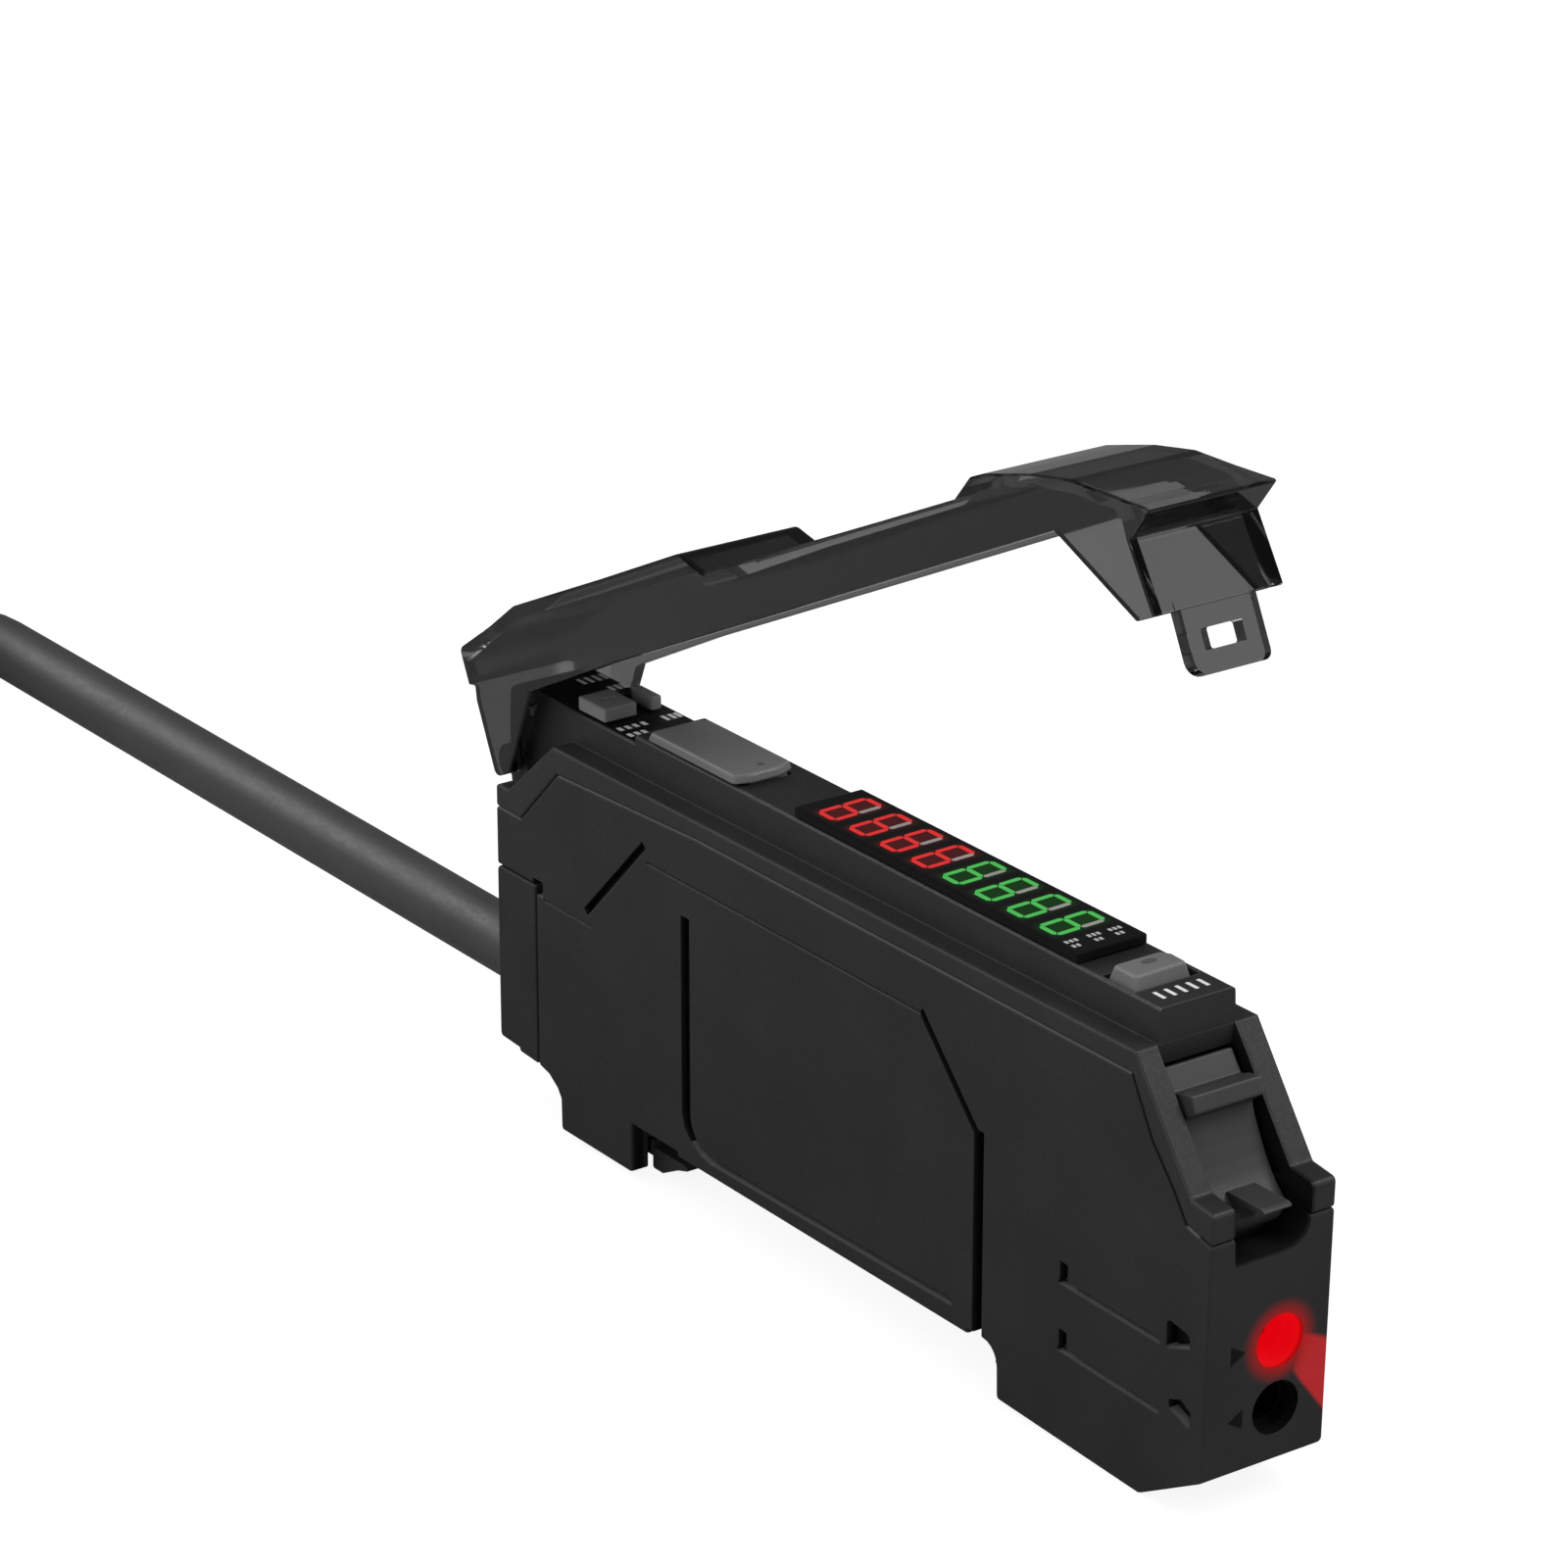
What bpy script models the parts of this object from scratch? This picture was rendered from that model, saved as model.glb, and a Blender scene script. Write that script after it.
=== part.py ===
"""Fibre optic sensor amplifier for a 35 mm rail, with its cover swung open.

Lengths are in millimetres and become metres when a piece is finished. +X runs to the fibre end,
+Z up, Y across the slim case. The origin is the middle of the rail seat.
"""
import math

import bmesh
import bpy
from mathutils import Matrix, Vector

for item in list(bpy.data.objects):
    bpy.data.objects.remove(item, do_unlink=True)

MM = 0.001

# Case
CASE_W = 8.5            # overall width
WALL = 1.2              # side wall of the tub
SEAM = 0.05             # parting line between visible case pieces
FIT = 0.3               # clearance of inner pieces
SOFT = 0.16             # edge rounding of the mouldings
REAR_X = -32.3          # rear face
FRONT_X = 36.5          # front face
SLOT_REAR_X = -17.85    # rail slot, rear wall
SLOT_FRONT_X = 18.2     # rail slot, front wall
SEAT_REAR_X = -13.0     # the rail seat lies between the two hooks
SEAT_FRONT_X = 15.6
RELIEF = 0.3            # step up beside the seat
HEEL_Z = -2.95          # rear foot
TOE_Z = -3.3            # front foot, lowest edge
RIM_Z = 22.3            # ledge beside the spine, mid length
SPINE_TOP = 24.55       # top of the spine
SPINE_HALF = 2.7        # half width of the spine
WEB = 0.55              # wall of the spine
PLATE = 0.8             # top plate of the spine
CHANNEL_NEAR = 2.75     # front channel for lever and cover tab, near wall
CHANNEL_FAR = 2.6       # and far wall
CHANNEL_Z = 12.0        # floor of the channel
DECK_TOP = 24.05        # lower rear part of the spine, where the slide knobs stand
DECK_FRONT_X = -19.45   # where the deck meets the spine

# Cover
COVER_OPEN_DEG = 26.0   # how far the cover stands open
COVER_WALL = 0.8
HINGE_X = -31.8
HINGE_Z = 19.15
HINGE_PIN_R = 0.5
BARREL_R = 1.15
BARREL_HALF = 3.1       # leaves room for the two arms

# Controls
KEY_TOP = 25.25         # rocker, window and keys
ROCKER_X = -13.6        # rocker axis
ROCKER_Z = 23.2
PIN_R = 0.4
KNOB_TRAVEL = 1.5
KNOB_TOP = 25.0
STEM_X = (-25.2, -23.8)  # stems of both knobs, at the front end of their travel
SET_TRAVEL = 0.35
BOARD_Z = 19.4          # underside of the key board
BOARD_T = 0.8

# Lever and optics
LEVER_X = 33.0
LEVER_Z = 14.4
LEVER_PIN_R = 0.5
LEVER_BOSS_R = 2.1      # round boss about the pin
PORT_R = 1.6            # mouth of a fibre port
PORT_LIP = 0.13         # step just inside the mouth
PORT_MOUTH = 0.45       # depth of the mouth
FIBRE_R = 1.15          # bore for a 2.2 mm fibre
PORT_T = (0.85, 6.7)    # transmit port, y and z
PORT_R_AT = (0.75, 2.7)  # receive port, y and z

# Rail claw
CLAW_HALF = 2.75
CLAW_T = 1.1
CLAW_Z = -2.2
CLAW_TIP_X = -13.8

# Cable
CABLE_R = 2.1
CABLE_Z = 4.25
HANK_X = -166.0         # middle of the hank that the rest of the cable is folded into
HANK_RUN = 56.0         # its two runs, from fold to fold
FOLD_R = 16.8           # radius of the outer turns at the folds
TURN_PITCH = 4.25       # from turn to turn, across and up
HANK_LAYERS = 5
WAIST = 8.0             # how far the tie draws each run in
RUN_SHARE = 0.28        # part of a turn that one run takes
CABLE_END = 0.52        # where the last turn ends, in turns from the entry
FLOOR_Z = TOE_Z
TIE_T = 0.6

HALF = CASE_W / 2
INNER = HALF - WALL
BUSH_R = CABLE_R + FIT + 0.5    # outside of the cable's grommet
FACE_FOOT_X = FRONT_X - 0.35    # foot of the front face, which leans back a little
FACE_FOOT_Z = -0.45
FACE_TOP_Z = 13.62
HANK_Y = -FOLD_R


def round_corners(points, steps=5):
    """Outline whose corners given as (a, b, radius) are rounded."""
    out = []
    count = len(points)
    for i, point in enumerate(points):
        if len(point) == 2:
            out.append((point[0], point[1]))
            continue
        here = Vector(point[:2])
        before = Vector(points[i - 1][:2]) - here
        after = Vector(points[(i + 1) % count][:2]) - here
        half = before.angle(after) / 2
        reach = min(point[2] / math.tan(half), before.length * 0.48, after.length * 0.48)
        radius = reach * math.tan(half)
        middle = (before.normalized() + after.normalized()).normalized()
        centre = here + middle * (radius / math.sin(half))
        start = here + before.normalized() * reach - centre
        end = here + after.normalized() * reach - centre
        turn = start.angle_signed(end)
        for k in range(steps + 1):
            spin = -turn * k / steps
            c, s = math.cos(spin), math.sin(spin)
            out.append((centre.x + start.x * c - start.y * s, centre.y + start.x * s + start.y * c))
    return out


def new_object(name, bm):
    bmesh.ops.recalc_face_normals(bm, faces=bm.faces[:])
    mesh = bpy.data.meshes.new(name)
    bm.to_mesh(mesh)
    bm.free()
    obj = bpy.data.objects.new(name, mesh)
    bpy.context.scene.collection.objects.link(obj)
    return obj


def prism(name, outline, low, high, along="Y", soft=0.0, steps=2):
    """Flat outline pulled along one axis, its sharp edges softened."""
    bm = bmesh.new()
    rings = []
    for level in (low, high):
        ring = []
        for a, b in outline:
            spot = {"X": (level, a, b), "Y": (a, level, b), "Z": (a, b, level)}[along]
            ring.append(bm.verts.new(spot))
        rings.append(ring)
    bm.faces.new(rings[0])
    bm.faces.new(list(reversed(rings[1])))
    count = len(outline)
    for i in range(count):
        k = (i + 1) % count
        bm.faces.new((rings[0][i], rings[1][i], rings[1][k], rings[0][k]))
    bmesh.ops.recalc_face_normals(bm, faces=bm.faces[:])
    if soft > 0:
        sharp = [e for e in bm.edges if e.calc_face_angle(0.0) > math.radians(38)]
        bmesh.ops.bevel(bm, geom=sharp, offset=soft, offset_type="OFFSET", segments=steps,
                        profile=0.5, affect="EDGES", clamp_overlap=True)
        bmesh.ops.dissolve_degenerate(bm, dist=0.0005, edges=bm.edges[:])
    return new_object(name, bm)


def box(name, x, y, z, soft=0.0, steps=2):
    outline = [(x[0], z[0]), (x[1], z[0]), (x[1], z[1]), (x[0], z[1])]
    return prism(name, outline, y[0], y[1], "Y", soft, steps)


def rod(name, centre, radius, low, high, along="X", sides=32, soft=0.0):
    """Round bar; centre is given in the two axes across its length."""
    ring = []
    for k in range(sides):
        t = 2 * math.pi * k / sides
        ring.append((centre[0] + radius * math.cos(t), centre[1] + radius * math.sin(t)))
    return prism(name, ring, low, high, along, soft)


def ring_bar(name, centre, outer, inner, low, high, along="X", sides=40):
    solid = rod(name, centre, outer, low, high, along, sides)
    cut(solid, rod("hole", centre, inner, low - 1, high + 1, along, sides))
    return solid


def combine(target, tool, kind):
    step = target.modifiers.new("step", "BOOLEAN")
    step.operation = kind
    step.solver = "EXACT"
    step.object = tool
    bpy.context.view_layer.update()
    graph = bpy.context.evaluated_depsgraph_get()
    mesh = bpy.data.meshes.new_from_object(target.evaluated_get(graph))
    target.modifiers.clear()
    target.data = mesh
    bpy.data.objects.remove(tool, do_unlink=True)
    return target


def cut(target, *tools):
    for tool in tools:
        combine(target, tool, "DIFFERENCE")
    return target


def join(target, *tools):
    for tool in tools:
        combine(target, tool, "UNION")
    return target


def cut_both_sides(target, outline, depth):
    """The same recess in both side faces."""
    cut(target, prism("near", outline, -HALF - 1, -HALF + depth))
    cut(target, prism("far", outline, HALF - depth, HALF + 1))


def bent_outline(stops):
    """Outline of a groove along a gently bent line, from places along it with the width at each."""
    left, right = [], []
    for i, (x, z, width) in enumerate(stops):
        before, after = stops[max(i - 1, 0)], stops[min(i + 1, len(stops) - 1)]
        way = Vector((after[0] - before[0], after[1] - before[1])).normalized()
        side = Vector((-way.y, way.x)) * width / 2
        left.append((x + side.x, z + side.y))
        right.append((x - side.x, z - side.y))
    return left + right[::-1]


def line_outline(start, end, width):
    """Outline of a straight groove, a little longer than its two ends."""
    a, b = Vector(start), Vector(end)
    way = (b - a).normalized()
    side = Vector((-way.y, way.x)) * width / 2
    a = a - way * width / 2
    b = b + way * width / 2
    return [tuple(a + side), tuple(b + side), tuple(b - side), tuple(a - side)]


def finish(obj, colour, rough=0.5, metal=0.0, origin=(0, 0, 0), smooth=35, alpha=1.0, turn=0.0):
    """Metres, the piece's own origin, material and shading."""
    mesh = obj.data
    mesh.transform(Matrix.Translation(-Vector(origin)))
    mesh.transform(Matrix.Scale(MM, 4))
    obj.location = Vector(origin) * MM
    obj.rotation_euler = (0, turn, 0)
    stuff = bpy.data.materials.new(obj.name)
    stuff.use_nodes = True
    shader = stuff.node_tree.nodes["Principled BSDF"]
    shader.inputs["Base Color"].default_value = (*colour, 1)
    shader.inputs["Roughness"].default_value = rough
    shader.inputs["Metallic"].default_value = metal
    shader.inputs["Alpha"].default_value = alpha
    mesh.materials.clear()
    mesh.materials.append(stuff)
    mesh.polygons.foreach_set("use_smooth", [True] * len(mesh.polygons))
    mesh.set_sharp_from_angle(angle=math.radians(smooth))
    mesh.update()
    return obj


BLACK = (0.025, 0.025, 0.028)
DARK = (0.05, 0.05, 0.055)

# Parting line seen on the side, from the rear face to the front face
SEAM_LINE = [
    (REAR_X, 16.28), (-29.6, 16.28), (-25.5, RIM_Z - 1.85), (-10.8, RIM_Z - 1.2),
    (29.5, RIM_Z - 1.13), (31.3, 17.9), (33.2, 15.7), (34.3, 14.1), (FRONT_X, FACE_TOP_Z),
]

# Tub
tub_outline = round_corners([
    (-27.98, 0.5), (-26.9, 0.25), (-26.0, -0.35), (-25.6, -0.9), (-25.55, HEEL_Z, 0.25),
    (SLOT_REAR_X, HEEL_Z, 0.25), (SLOT_REAR_X, RELIEF), (SEAT_REAR_X, RELIEF), (SEAT_REAR_X, 0.0),
    (SEAT_FRONT_X, 0.0), (SEAT_FRONT_X, RELIEF), (SLOT_FRONT_X, RELIEF, 1.5),
    (SLOT_FRONT_X + 0.08, TOE_Z + 0.4, 0.25), (30.9, TOE_Z, 0.5), (FACE_FOOT_X, FACE_FOOT_Z, 0.5),
] + list(reversed(SEAM_LINE)) + [(REAR_X, 12.52), (-27.98, 12.52)])
main_case = prism("main_case", tub_outline, -HALF, HALF, soft=SOFT)

cavity = [
    (-29.0, 1.0), (-19.2, 1.0), (-18.9, WALL), (17.4, WALL), (19.6, -0.4), (19.6, -1.7),
    (30.4, -2.0), (33.8, -0.3), (33.8, 26.0), (REAR_X + WALL, 26.0), (REAR_X + WALL, 13.7), (-29.0, 13.7),
]
cut(main_case, prism("cavity", cavity, -INNER, INNER))

channel = round_corners([
    (-CHANNEL_NEAR + 0.2, CHANNEL_Z, 0.2), (CHANNEL_FAR, CHANNEL_Z, 1.6), (CHANNEL_FAR, 24.0),
    (-CHANNEL_NEAR, 24.0), (-CHANNEL_NEAR, CHANNEL_Z + 3.4),
])
cut(main_case, prism("channel", channel, 33.0, 39.0, "X"))

for y, z in (PORT_T, PORT_R_AT):
    face_x = FACE_FOOT_X + (FRONT_X - FACE_FOOT_X) * (z - FACE_FOOT_Z) / (FACE_TOP_Z - FACE_FOOT_Z)
    cut(main_case, rod("port", (y, z), PORT_R, face_x - PORT_MOUTH, 38.0, "X", 40))
    cut(main_case, rod("lip", (y, z), PORT_R - PORT_LIP, 35.0, face_x - 0.2, "X", 40))
    cut(main_case, rod("throat", (y, z), FIBRE_R + 0.1, 32.0, 36.0, "X", 32))

# Fixed hook for the rail's front edge
hook = round_corners([
    (18.9, -1.4), (16.7, -1.5, 0.15), (16.2, -1.8, 0.15), (16.7, -2.3, 0.2), (18.9, -2.7),
], 3)
join(main_case, prism("hook", hook, -CLAW_HALF, CLAW_HALF))

# Way for the sliding claw, through the rear foot
cut(main_case, box("claw_way", (-27.5, -16.9), (-CLAW_HALF - FIT, CLAW_HALF + FIT),
                   (CLAW_Z - 0.2, CLAW_Z + CLAW_T + 0.25)))
cut(main_case, box("claw_room", (SLOT_REAR_X - 3.1, -16.9), (-CLAW_HALF - FIT, CLAW_HALF + FIT),
                   (HEEL_Z - 0.5, CLAW_Z + CLAW_T)))

# Seats of the lever's pin, blind from inside
cut(main_case, rod("lever_seat", (LEVER_X, LEVER_Z), LEVER_PIN_R + 0.1, -INNER - 0.75, INNER + 0.75, "Y"))

# Room for the cable's grommet between the side walls
cut(main_case, rod("bush_seat", (0, CABLE_Z), BUSH_R + FIT, -27.7 - FIT, -25.6 + FIT, "X", 40))

# Side grooves and pockets
for a, b, width, depth in (
        ((-15.9, 18.0), (11.2, 18.0), 0.16, 0.12), ((11.2, 18.0), (16.45, 12.45), 0.5, 0.5),
        ((16.45, 12.45), (16.45, 0.35), 0.9, 0.7)):
    cut_both_sides(main_case, line_outline(a, b, width), depth)
cut_both_sides(main_case, bent_outline([
    (-12.0, 15.85, 0.9), (-12.0, 3.1, 0.9), (-11.78, 2.4, 0.82), (-11.3, 1.8, 0.66), (-10.55, 1.32, 0.5),
    (-9.6, 1.05, 0.42), (14.1, 1.4, 0.42),
]), 0.5)
cut_both_sides(main_case, line_outline((-16.4, 18.8), (-22.3, 12.8), 0.55), 0.6)
cut_both_sides(main_case, line_outline((-27.1, 11.8), (-21.8, 11.8), 0.12), 0.15)
cut_both_sides(main_case, [(-28.3, 11.85), (-27.2, 11.85), (-27.2, 12.9), (-28.3, 12.9)], 0.7)
for low, drop in ((6.7, 0.1), (2.6, 0.2)):
    cut_both_sides(main_case, line_outline((23.9, low), (32.3, low - drop), 0.34), 0.4)
    cut_both_sides(main_case, [(23.8, low - 0.02), (24.5, low - 0.05), (24.5, low + 1.15), (23.8, low + 1.2)], 0.5)
pocket = [(33.0, 6.45, 0.15), (34.95, 7.15, 0.15), (34.95, 7.9, 0.3), (33.0, 8.2, 0.3)]
cut_both_sides(main_case, round_corners(pocket, 3), 0.75)
pocket = [(33.35, 3.0, 0.15), (35.05, 2.4, 0.15), (35.2, 3.4, 0.2), (34.3, 3.85, 0.2), (33.3, 3.5, 0.15)]
cut_both_sides(main_case, round_corners(pocket, 3), 0.6)
finish(main_case, DARK, 0.55)

# Block that closes the rear of the tub and holds the cable
block_outline = round_corners([
    (REAR_X, 0.95, 0.3), (-30.2, 0.85), (-30.1, 0.62), (-28.1, 0.52), (-28.1, 12.4), (REAR_X, 12.4, 0.3),
], 3)
rear_block = prism("rear_cable_block", block_outline, -HALF, HALF, soft=SOFT)
join(rear_block, box("plug", (-28.4, -27.0), (-INNER + FIT, INNER - FIT), (7.6, 11.4)))
cut(rear_block, rod("bore", (0, CABLE_Z), CABLE_R + FIT, -34, -26, "X", 40))
finish(rear_block, BLACK, 0.6)

bush = ring_bar("cable_bush", (0, CABLE_Z), BUSH_R, CABLE_R + FIT, -27.7, -25.6)
finish(bush, BLACK, 0.75)

# Frame that closes the tub: rim, spine, channel walls, hinge block
frame_outline = [(a, b + SEAM) for a, b in SEAM_LINE[:4]]
frame_outline += [
    (29.58, RIM_Z - 1.13 + SEAM), (31.38, 17.99), (33.28, 15.8), (34.36, 14.24), (FRONT_X, 13.74),
]
frame_outline = round_corners(frame_outline + [
    (FRONT_X + 0.05, 15.52, 0.35), (34.63, 15.76), (29.75, RIM_Z + 0.2, 0.2), (-26.0, RIM_Z - 0.2, 0.3),
    (-31.0, 17.75), (REAR_X, 17.75, 0.2),
], 4)
top_frame = prism("top_frame", frame_outline, -HALF, HALF, soft=SOFT)
skirt = [(-24.6, BOARD_Z - 0.2), (28.6, BOARD_Z - 0.2), (28.6, RIM_Z - 0.6), (-23.4, RIM_Z - 0.6)]
join(top_frame, prism("skirt", skirt, -INNER + FIT + 0.02, INNER - FIT - 0.02))
spine_section = round_corners([
    (-SPINE_HALF, RIM_Z - 0.6), (SPINE_HALF, RIM_Z - 0.6), (SPINE_HALF - 0.12, SPINE_TOP, 0.25),
    (-SPINE_HALF + 0.12, SPINE_TOP, 0.25),
], 4)
join(top_frame, prism("spine", spine_section, DECK_FRONT_X, 29.75, "X"))
deck_half = SPINE_HALF - 0.03
deck_section = round_corners([
    (-deck_half, RIM_Z - 0.6), (deck_half, RIM_Z - 0.6), (deck_half - 0.1, DECK_TOP, 0.25),
    (-deck_half + 0.1, DECK_TOP, 0.25),
], 4)
deck_rear = REAR_X + 0.05
join(top_frame, prism("deck", deck_section, deck_rear, DECK_FRONT_X + 0.05, "X"))
join(top_frame, box("deck_foot", (deck_rear, -25.5), (-deck_half, deck_half), (17.3, RIM_Z - 0.55)))
cut(top_frame, prism("deck_chamfer", [
    (deck_rear - 1, DECK_TOP - 0.35), (deck_rear, DECK_TOP - 0.35), (deck_rear + 0.4, DECK_TOP + 0.05),
    (deck_rear - 1, DECK_TOP + 1),
], -4, 4))

# Hollow under the spine, narrower beside the rocker, and the open channel in front
HOLLOW = SPINE_HALF - WEB
hollow_top = SPINE_TOP - PLATE
cut(top_frame, box("hollow_front", (-8.3, 28.9), (-HOLLOW, HOLLOW), (15.0, hollow_top)))
cut(top_frame, box("hollow_rocker", (-18.9, -8.2), (-1.7, 1.7), (15.0, hollow_top)))
cut(top_frame, box("hollow_rear", (-29.0, -18.8), (-HOLLOW, HOLLOW), (15.0, DECK_TOP - PLATE)))
cut(top_frame, box("way_under", (-27.5, 29.0), (-HOLLOW, HOLLOW), (15.0, BOARD_Z + 1.2)))
cut(top_frame, prism("front_channel", channel, 29.9, 39.0, "X"))
cut(top_frame, prism("lever_room", [
    (29.0, 12.0), (29.9, 12.0), (29.9, 23.0), (29.76, 23.0), (29.76, 21.3), (29.0, 21.3),
], -CHANNEL_NEAR, CHANNEL_FAR))

# Openings of the controls
cut(top_frame, box("window_way", (-3.1, 22.4), (-1.9, 1.9), (20.0, 26.0)))
cut(top_frame, box("rocker_way", (-18.2, -9.0), (-1.65, 1.45), (20.0, 26.0)))
cut(top_frame, box("set_way", (24.5, 27.3), (-2.35, 2.15), (20.0, 26.0)))
knob_way = (STEM_X[0] - KNOB_TRAVEL - 0.2, STEM_X[1] + 0.2)
cut(top_frame, box("knob_way_a", knob_way, (-1.65, -0.65), (20.0, 26.0)))
cut(top_frame, box("knob_way_b", knob_way, (1.15, 1.85), (20.0, 26.0)))
cut(top_frame, rod("rocker_seat", (ROCKER_X, ROCKER_Z), PIN_R + 0.1, -2.3, 2.3, "Y"))

# Hinge barrel between the cover's arms, on a web that rises from the ledge
barrel = rod("barrel", (HINGE_X, HINGE_Z), BARREL_R, -BARREL_HALF, BARREL_HALF, "Y", 40)
hinge = [(REAR_X + 0.15, 17.3), (-29.9, 17.3), (-30.3, 18.6), (HINGE_X + BARREL_R * 0.8, HINGE_Z + BARREL_R * 0.5),
         (HINGE_X - BARREL_R * 0.6, HINGE_Z + BARREL_R * 0.4)]
join(top_frame, prism("web", hinge, -BARREL_HALF, BARREL_HALF), barrel)
cut(top_frame, rod("hinge_bore", (HINGE_X, HINGE_Z), HINGE_PIN_R + 0.2, -4.0, 4.0, "Y"))
finish(top_frame, DARK, 0.5)

# Smoked cover, modelled shut and then swung open about its hinge
SHUT_DX = -0.37
SHUT_DZ = -0.1
cover_outline = round_corners([
    (-32.31, 18.58, 0.5), (-30.6, 18.58, 0.4), (-25.7, 22.92), (-16.0, 23.1), (5.0, 22.95), (30.2, 22.8),
    (35.15, 17.07, 0.2), (37.0, 17.05), (36.54, 21.2), (38.8, 22.35, 0.14), (35.6, 23.75, 1.2), (32.7, 25.1),
    (29.5, 26.0), (27.2, 26.45), (25.3, 26.8), (24.1, 26.85, 0.35), (22.2, 25.98, 0.4), (15.15, 26.1), (8.4, 26.24),
    (-3.7, 26.4, 0.5),
    (-5.73, 27.97, 0.8), (-14.8, 28.02), (-21.5, 28.12), (-25.2, 28.17, 1.2), (-28.3, 27.5), (-31.0, 27.05),
    (-32.6, 26.8, 0.5), (-32.62, 24.46), (-31.95, 24.3, 0.12), (-32.22, 23.4, 0.3),
])
cover = prism("cover", cover_outline, -HALF, HALF, soft=0.18, steps=2)
inside = COVER_WALL
cover_hollow = [
    (-34.0, 16.0), (-34.0, 24.46), (-32.55 + inside, 24.46), (-32.55 + inside, 26.8 - inside), (-28.3, 27.5 - inside),
    (-25.2, 28.17 - inside), (-14.8, 28.02 - inside), (-6.1, 27.97 - inside), (-4.1, 26.36 - inside),
    (8.4, 26.24 - 0.55), (22.5, 25.55), (24.2, 26.85 - inside), (27.2, 26.45 - inside), (29.5, 26.0 - inside),
    (32.4, 25.1 - inside), (35.0, 23.75 - inside), (35.7, 22.3), (35.65, 21.2), (36.1, 17.1), (36.1, 14.0),
    (36.1, 12.0), (-30.0, 12.0),
]
cut(cover, prism("cover_hollow", cover_hollow, -HALF + COVER_WALL, HALF - COVER_WALL))
tab = round_corners([(-2.6, 17.5), (2.4, 17.5), (2.4, 13.5, 0.5), (-2.6, 13.5, 0.9)], 5)
join(cover, prism("tab", tab, 36.0, 36.9, "X"))
hole = round_corners([(-1.3, 14.75, 0.15), (1.1, 14.75, 0.15), (1.1, 15.9, 0.15), (-1.3, 15.9, 0.15)], 3)
cut(cover, prism("tab_hole", hole, 35.0, 38.0, "X"))
for low, high in ((-HALF + COVER_WALL / 2, -2.3), (2.3, HALF - COVER_WALL / 2)):
    join(cover, rod("stub", (HINGE_X - SHUT_DX, HINGE_Z - SHUT_DZ), HINGE_PIN_R, low, high, "Y", 24))
cover.data.transform(Matrix.Translation((SHUT_DX, 0, SHUT_DZ)))
finish(cover, (0.03, 0.03, 0.035), 0.12, 0.0, (HINGE_X, 0, HINGE_Z), alpha=0.45, turn=-math.radians(COVER_OPEN_DEG))

# Boards and what stands on them
board_x = (-27.2, 27.8)
key_board = box("key_board", board_x, (-1.85, 1.85), (BOARD_Z, BOARD_Z + BOARD_T))
finish(key_board, (0.02, 0.16, 0.07), 0.5)
main_pcb = box("main_pcb", (-23.5, 21.5), (0.9, 1.9), (2.2, BOARD_Z - FIT))
finish(main_pcb, (0.02, 0.16, 0.07), 0.5)
chip = box("controller_chip", (-6.0, 4.0), (-0.4, 0.8), (6.0, 15.0), soft=0.1)
finish(chip, BLACK, 0.5)
stand = BOARD_Z + BOARD_T + 0.1
display = box("display_module", (-2.8, 22.1), (-1.75, 1.75), (stand, SPINE_TOP - 0.85), soft=0.08)
finish(display, (0.5, 0.5, 0.5), 0.6)
window = box("display_window", (-3.4, 22.7), (-2.55, 2.25), (SPINE_TOP + 0.06, KEY_TOP), soft=0.12)
join(window, box("window_plug", (-2.95, 22.25), (-1.75, 1.75), (SPINE_TOP - 0.6, SPINE_TOP + 0.2)))
finish(window, BLACK, 0.15)

for name, x0 in (("tact_switch_up", -17.9), ("tact_switch_down", -11.7)):
    switch = box(name, (x0, x0 + 2.4), (-1.35, 1.35), (stand, 22.3), soft=0.05)
    join(switch, rod("button", (x0 + 1.2, 0), 0.75, 22.0, 22.7, "Z", 24))
    finish(switch, (0.12, 0.12, 0.12), 0.4)
switch = box("tact_switch_set", (24.6, 27.2), (-1.5, 1.5), (stand, 21.9), soft=0.05)
join(switch, rod("button", (25.9, 0), 0.8, 21.6, 22.3, "Z", 24))
finish(switch, (0.12, 0.12, 0.12), 0.4)
for name, y in (("slide_switch_body_a", (-1.75, -0.15)), ("slide_switch_body_b", (0.15, 1.75))):
    body = box(name, (STEM_X[0] - KNOB_TRAVEL - 0.4, STEM_X[1] + 0.8), y, (stand, 22.3), soft=0.05)
    finish(body, (0.3, 0.3, 0.3), 0.4, 0.6)

# Rocker key on its pin
def key_cap(name, outline, low, high, lean, soft):
    """Cap whose sides lean in towards a softly rounded top."""
    cap = prism(name, outline, low, high, "Z", soft=soft)
    xs, ys = zip(*outline)
    middle = ((min(xs) + max(xs)) / 2, (min(ys) + max(ys)) / 2)
    reach = ((max(xs) - min(xs)) / 2, (max(ys) - min(ys)) / 2)
    for vert in cap.data.vertices:
        share = (vert.co.z - low) / (high - low)
        vert.co.x -= (vert.co.x - middle[0]) / reach[0] * lean * share
        vert.co.y -= (vert.co.y - middle[1]) / reach[1] * lean * share
    return cap


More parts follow.
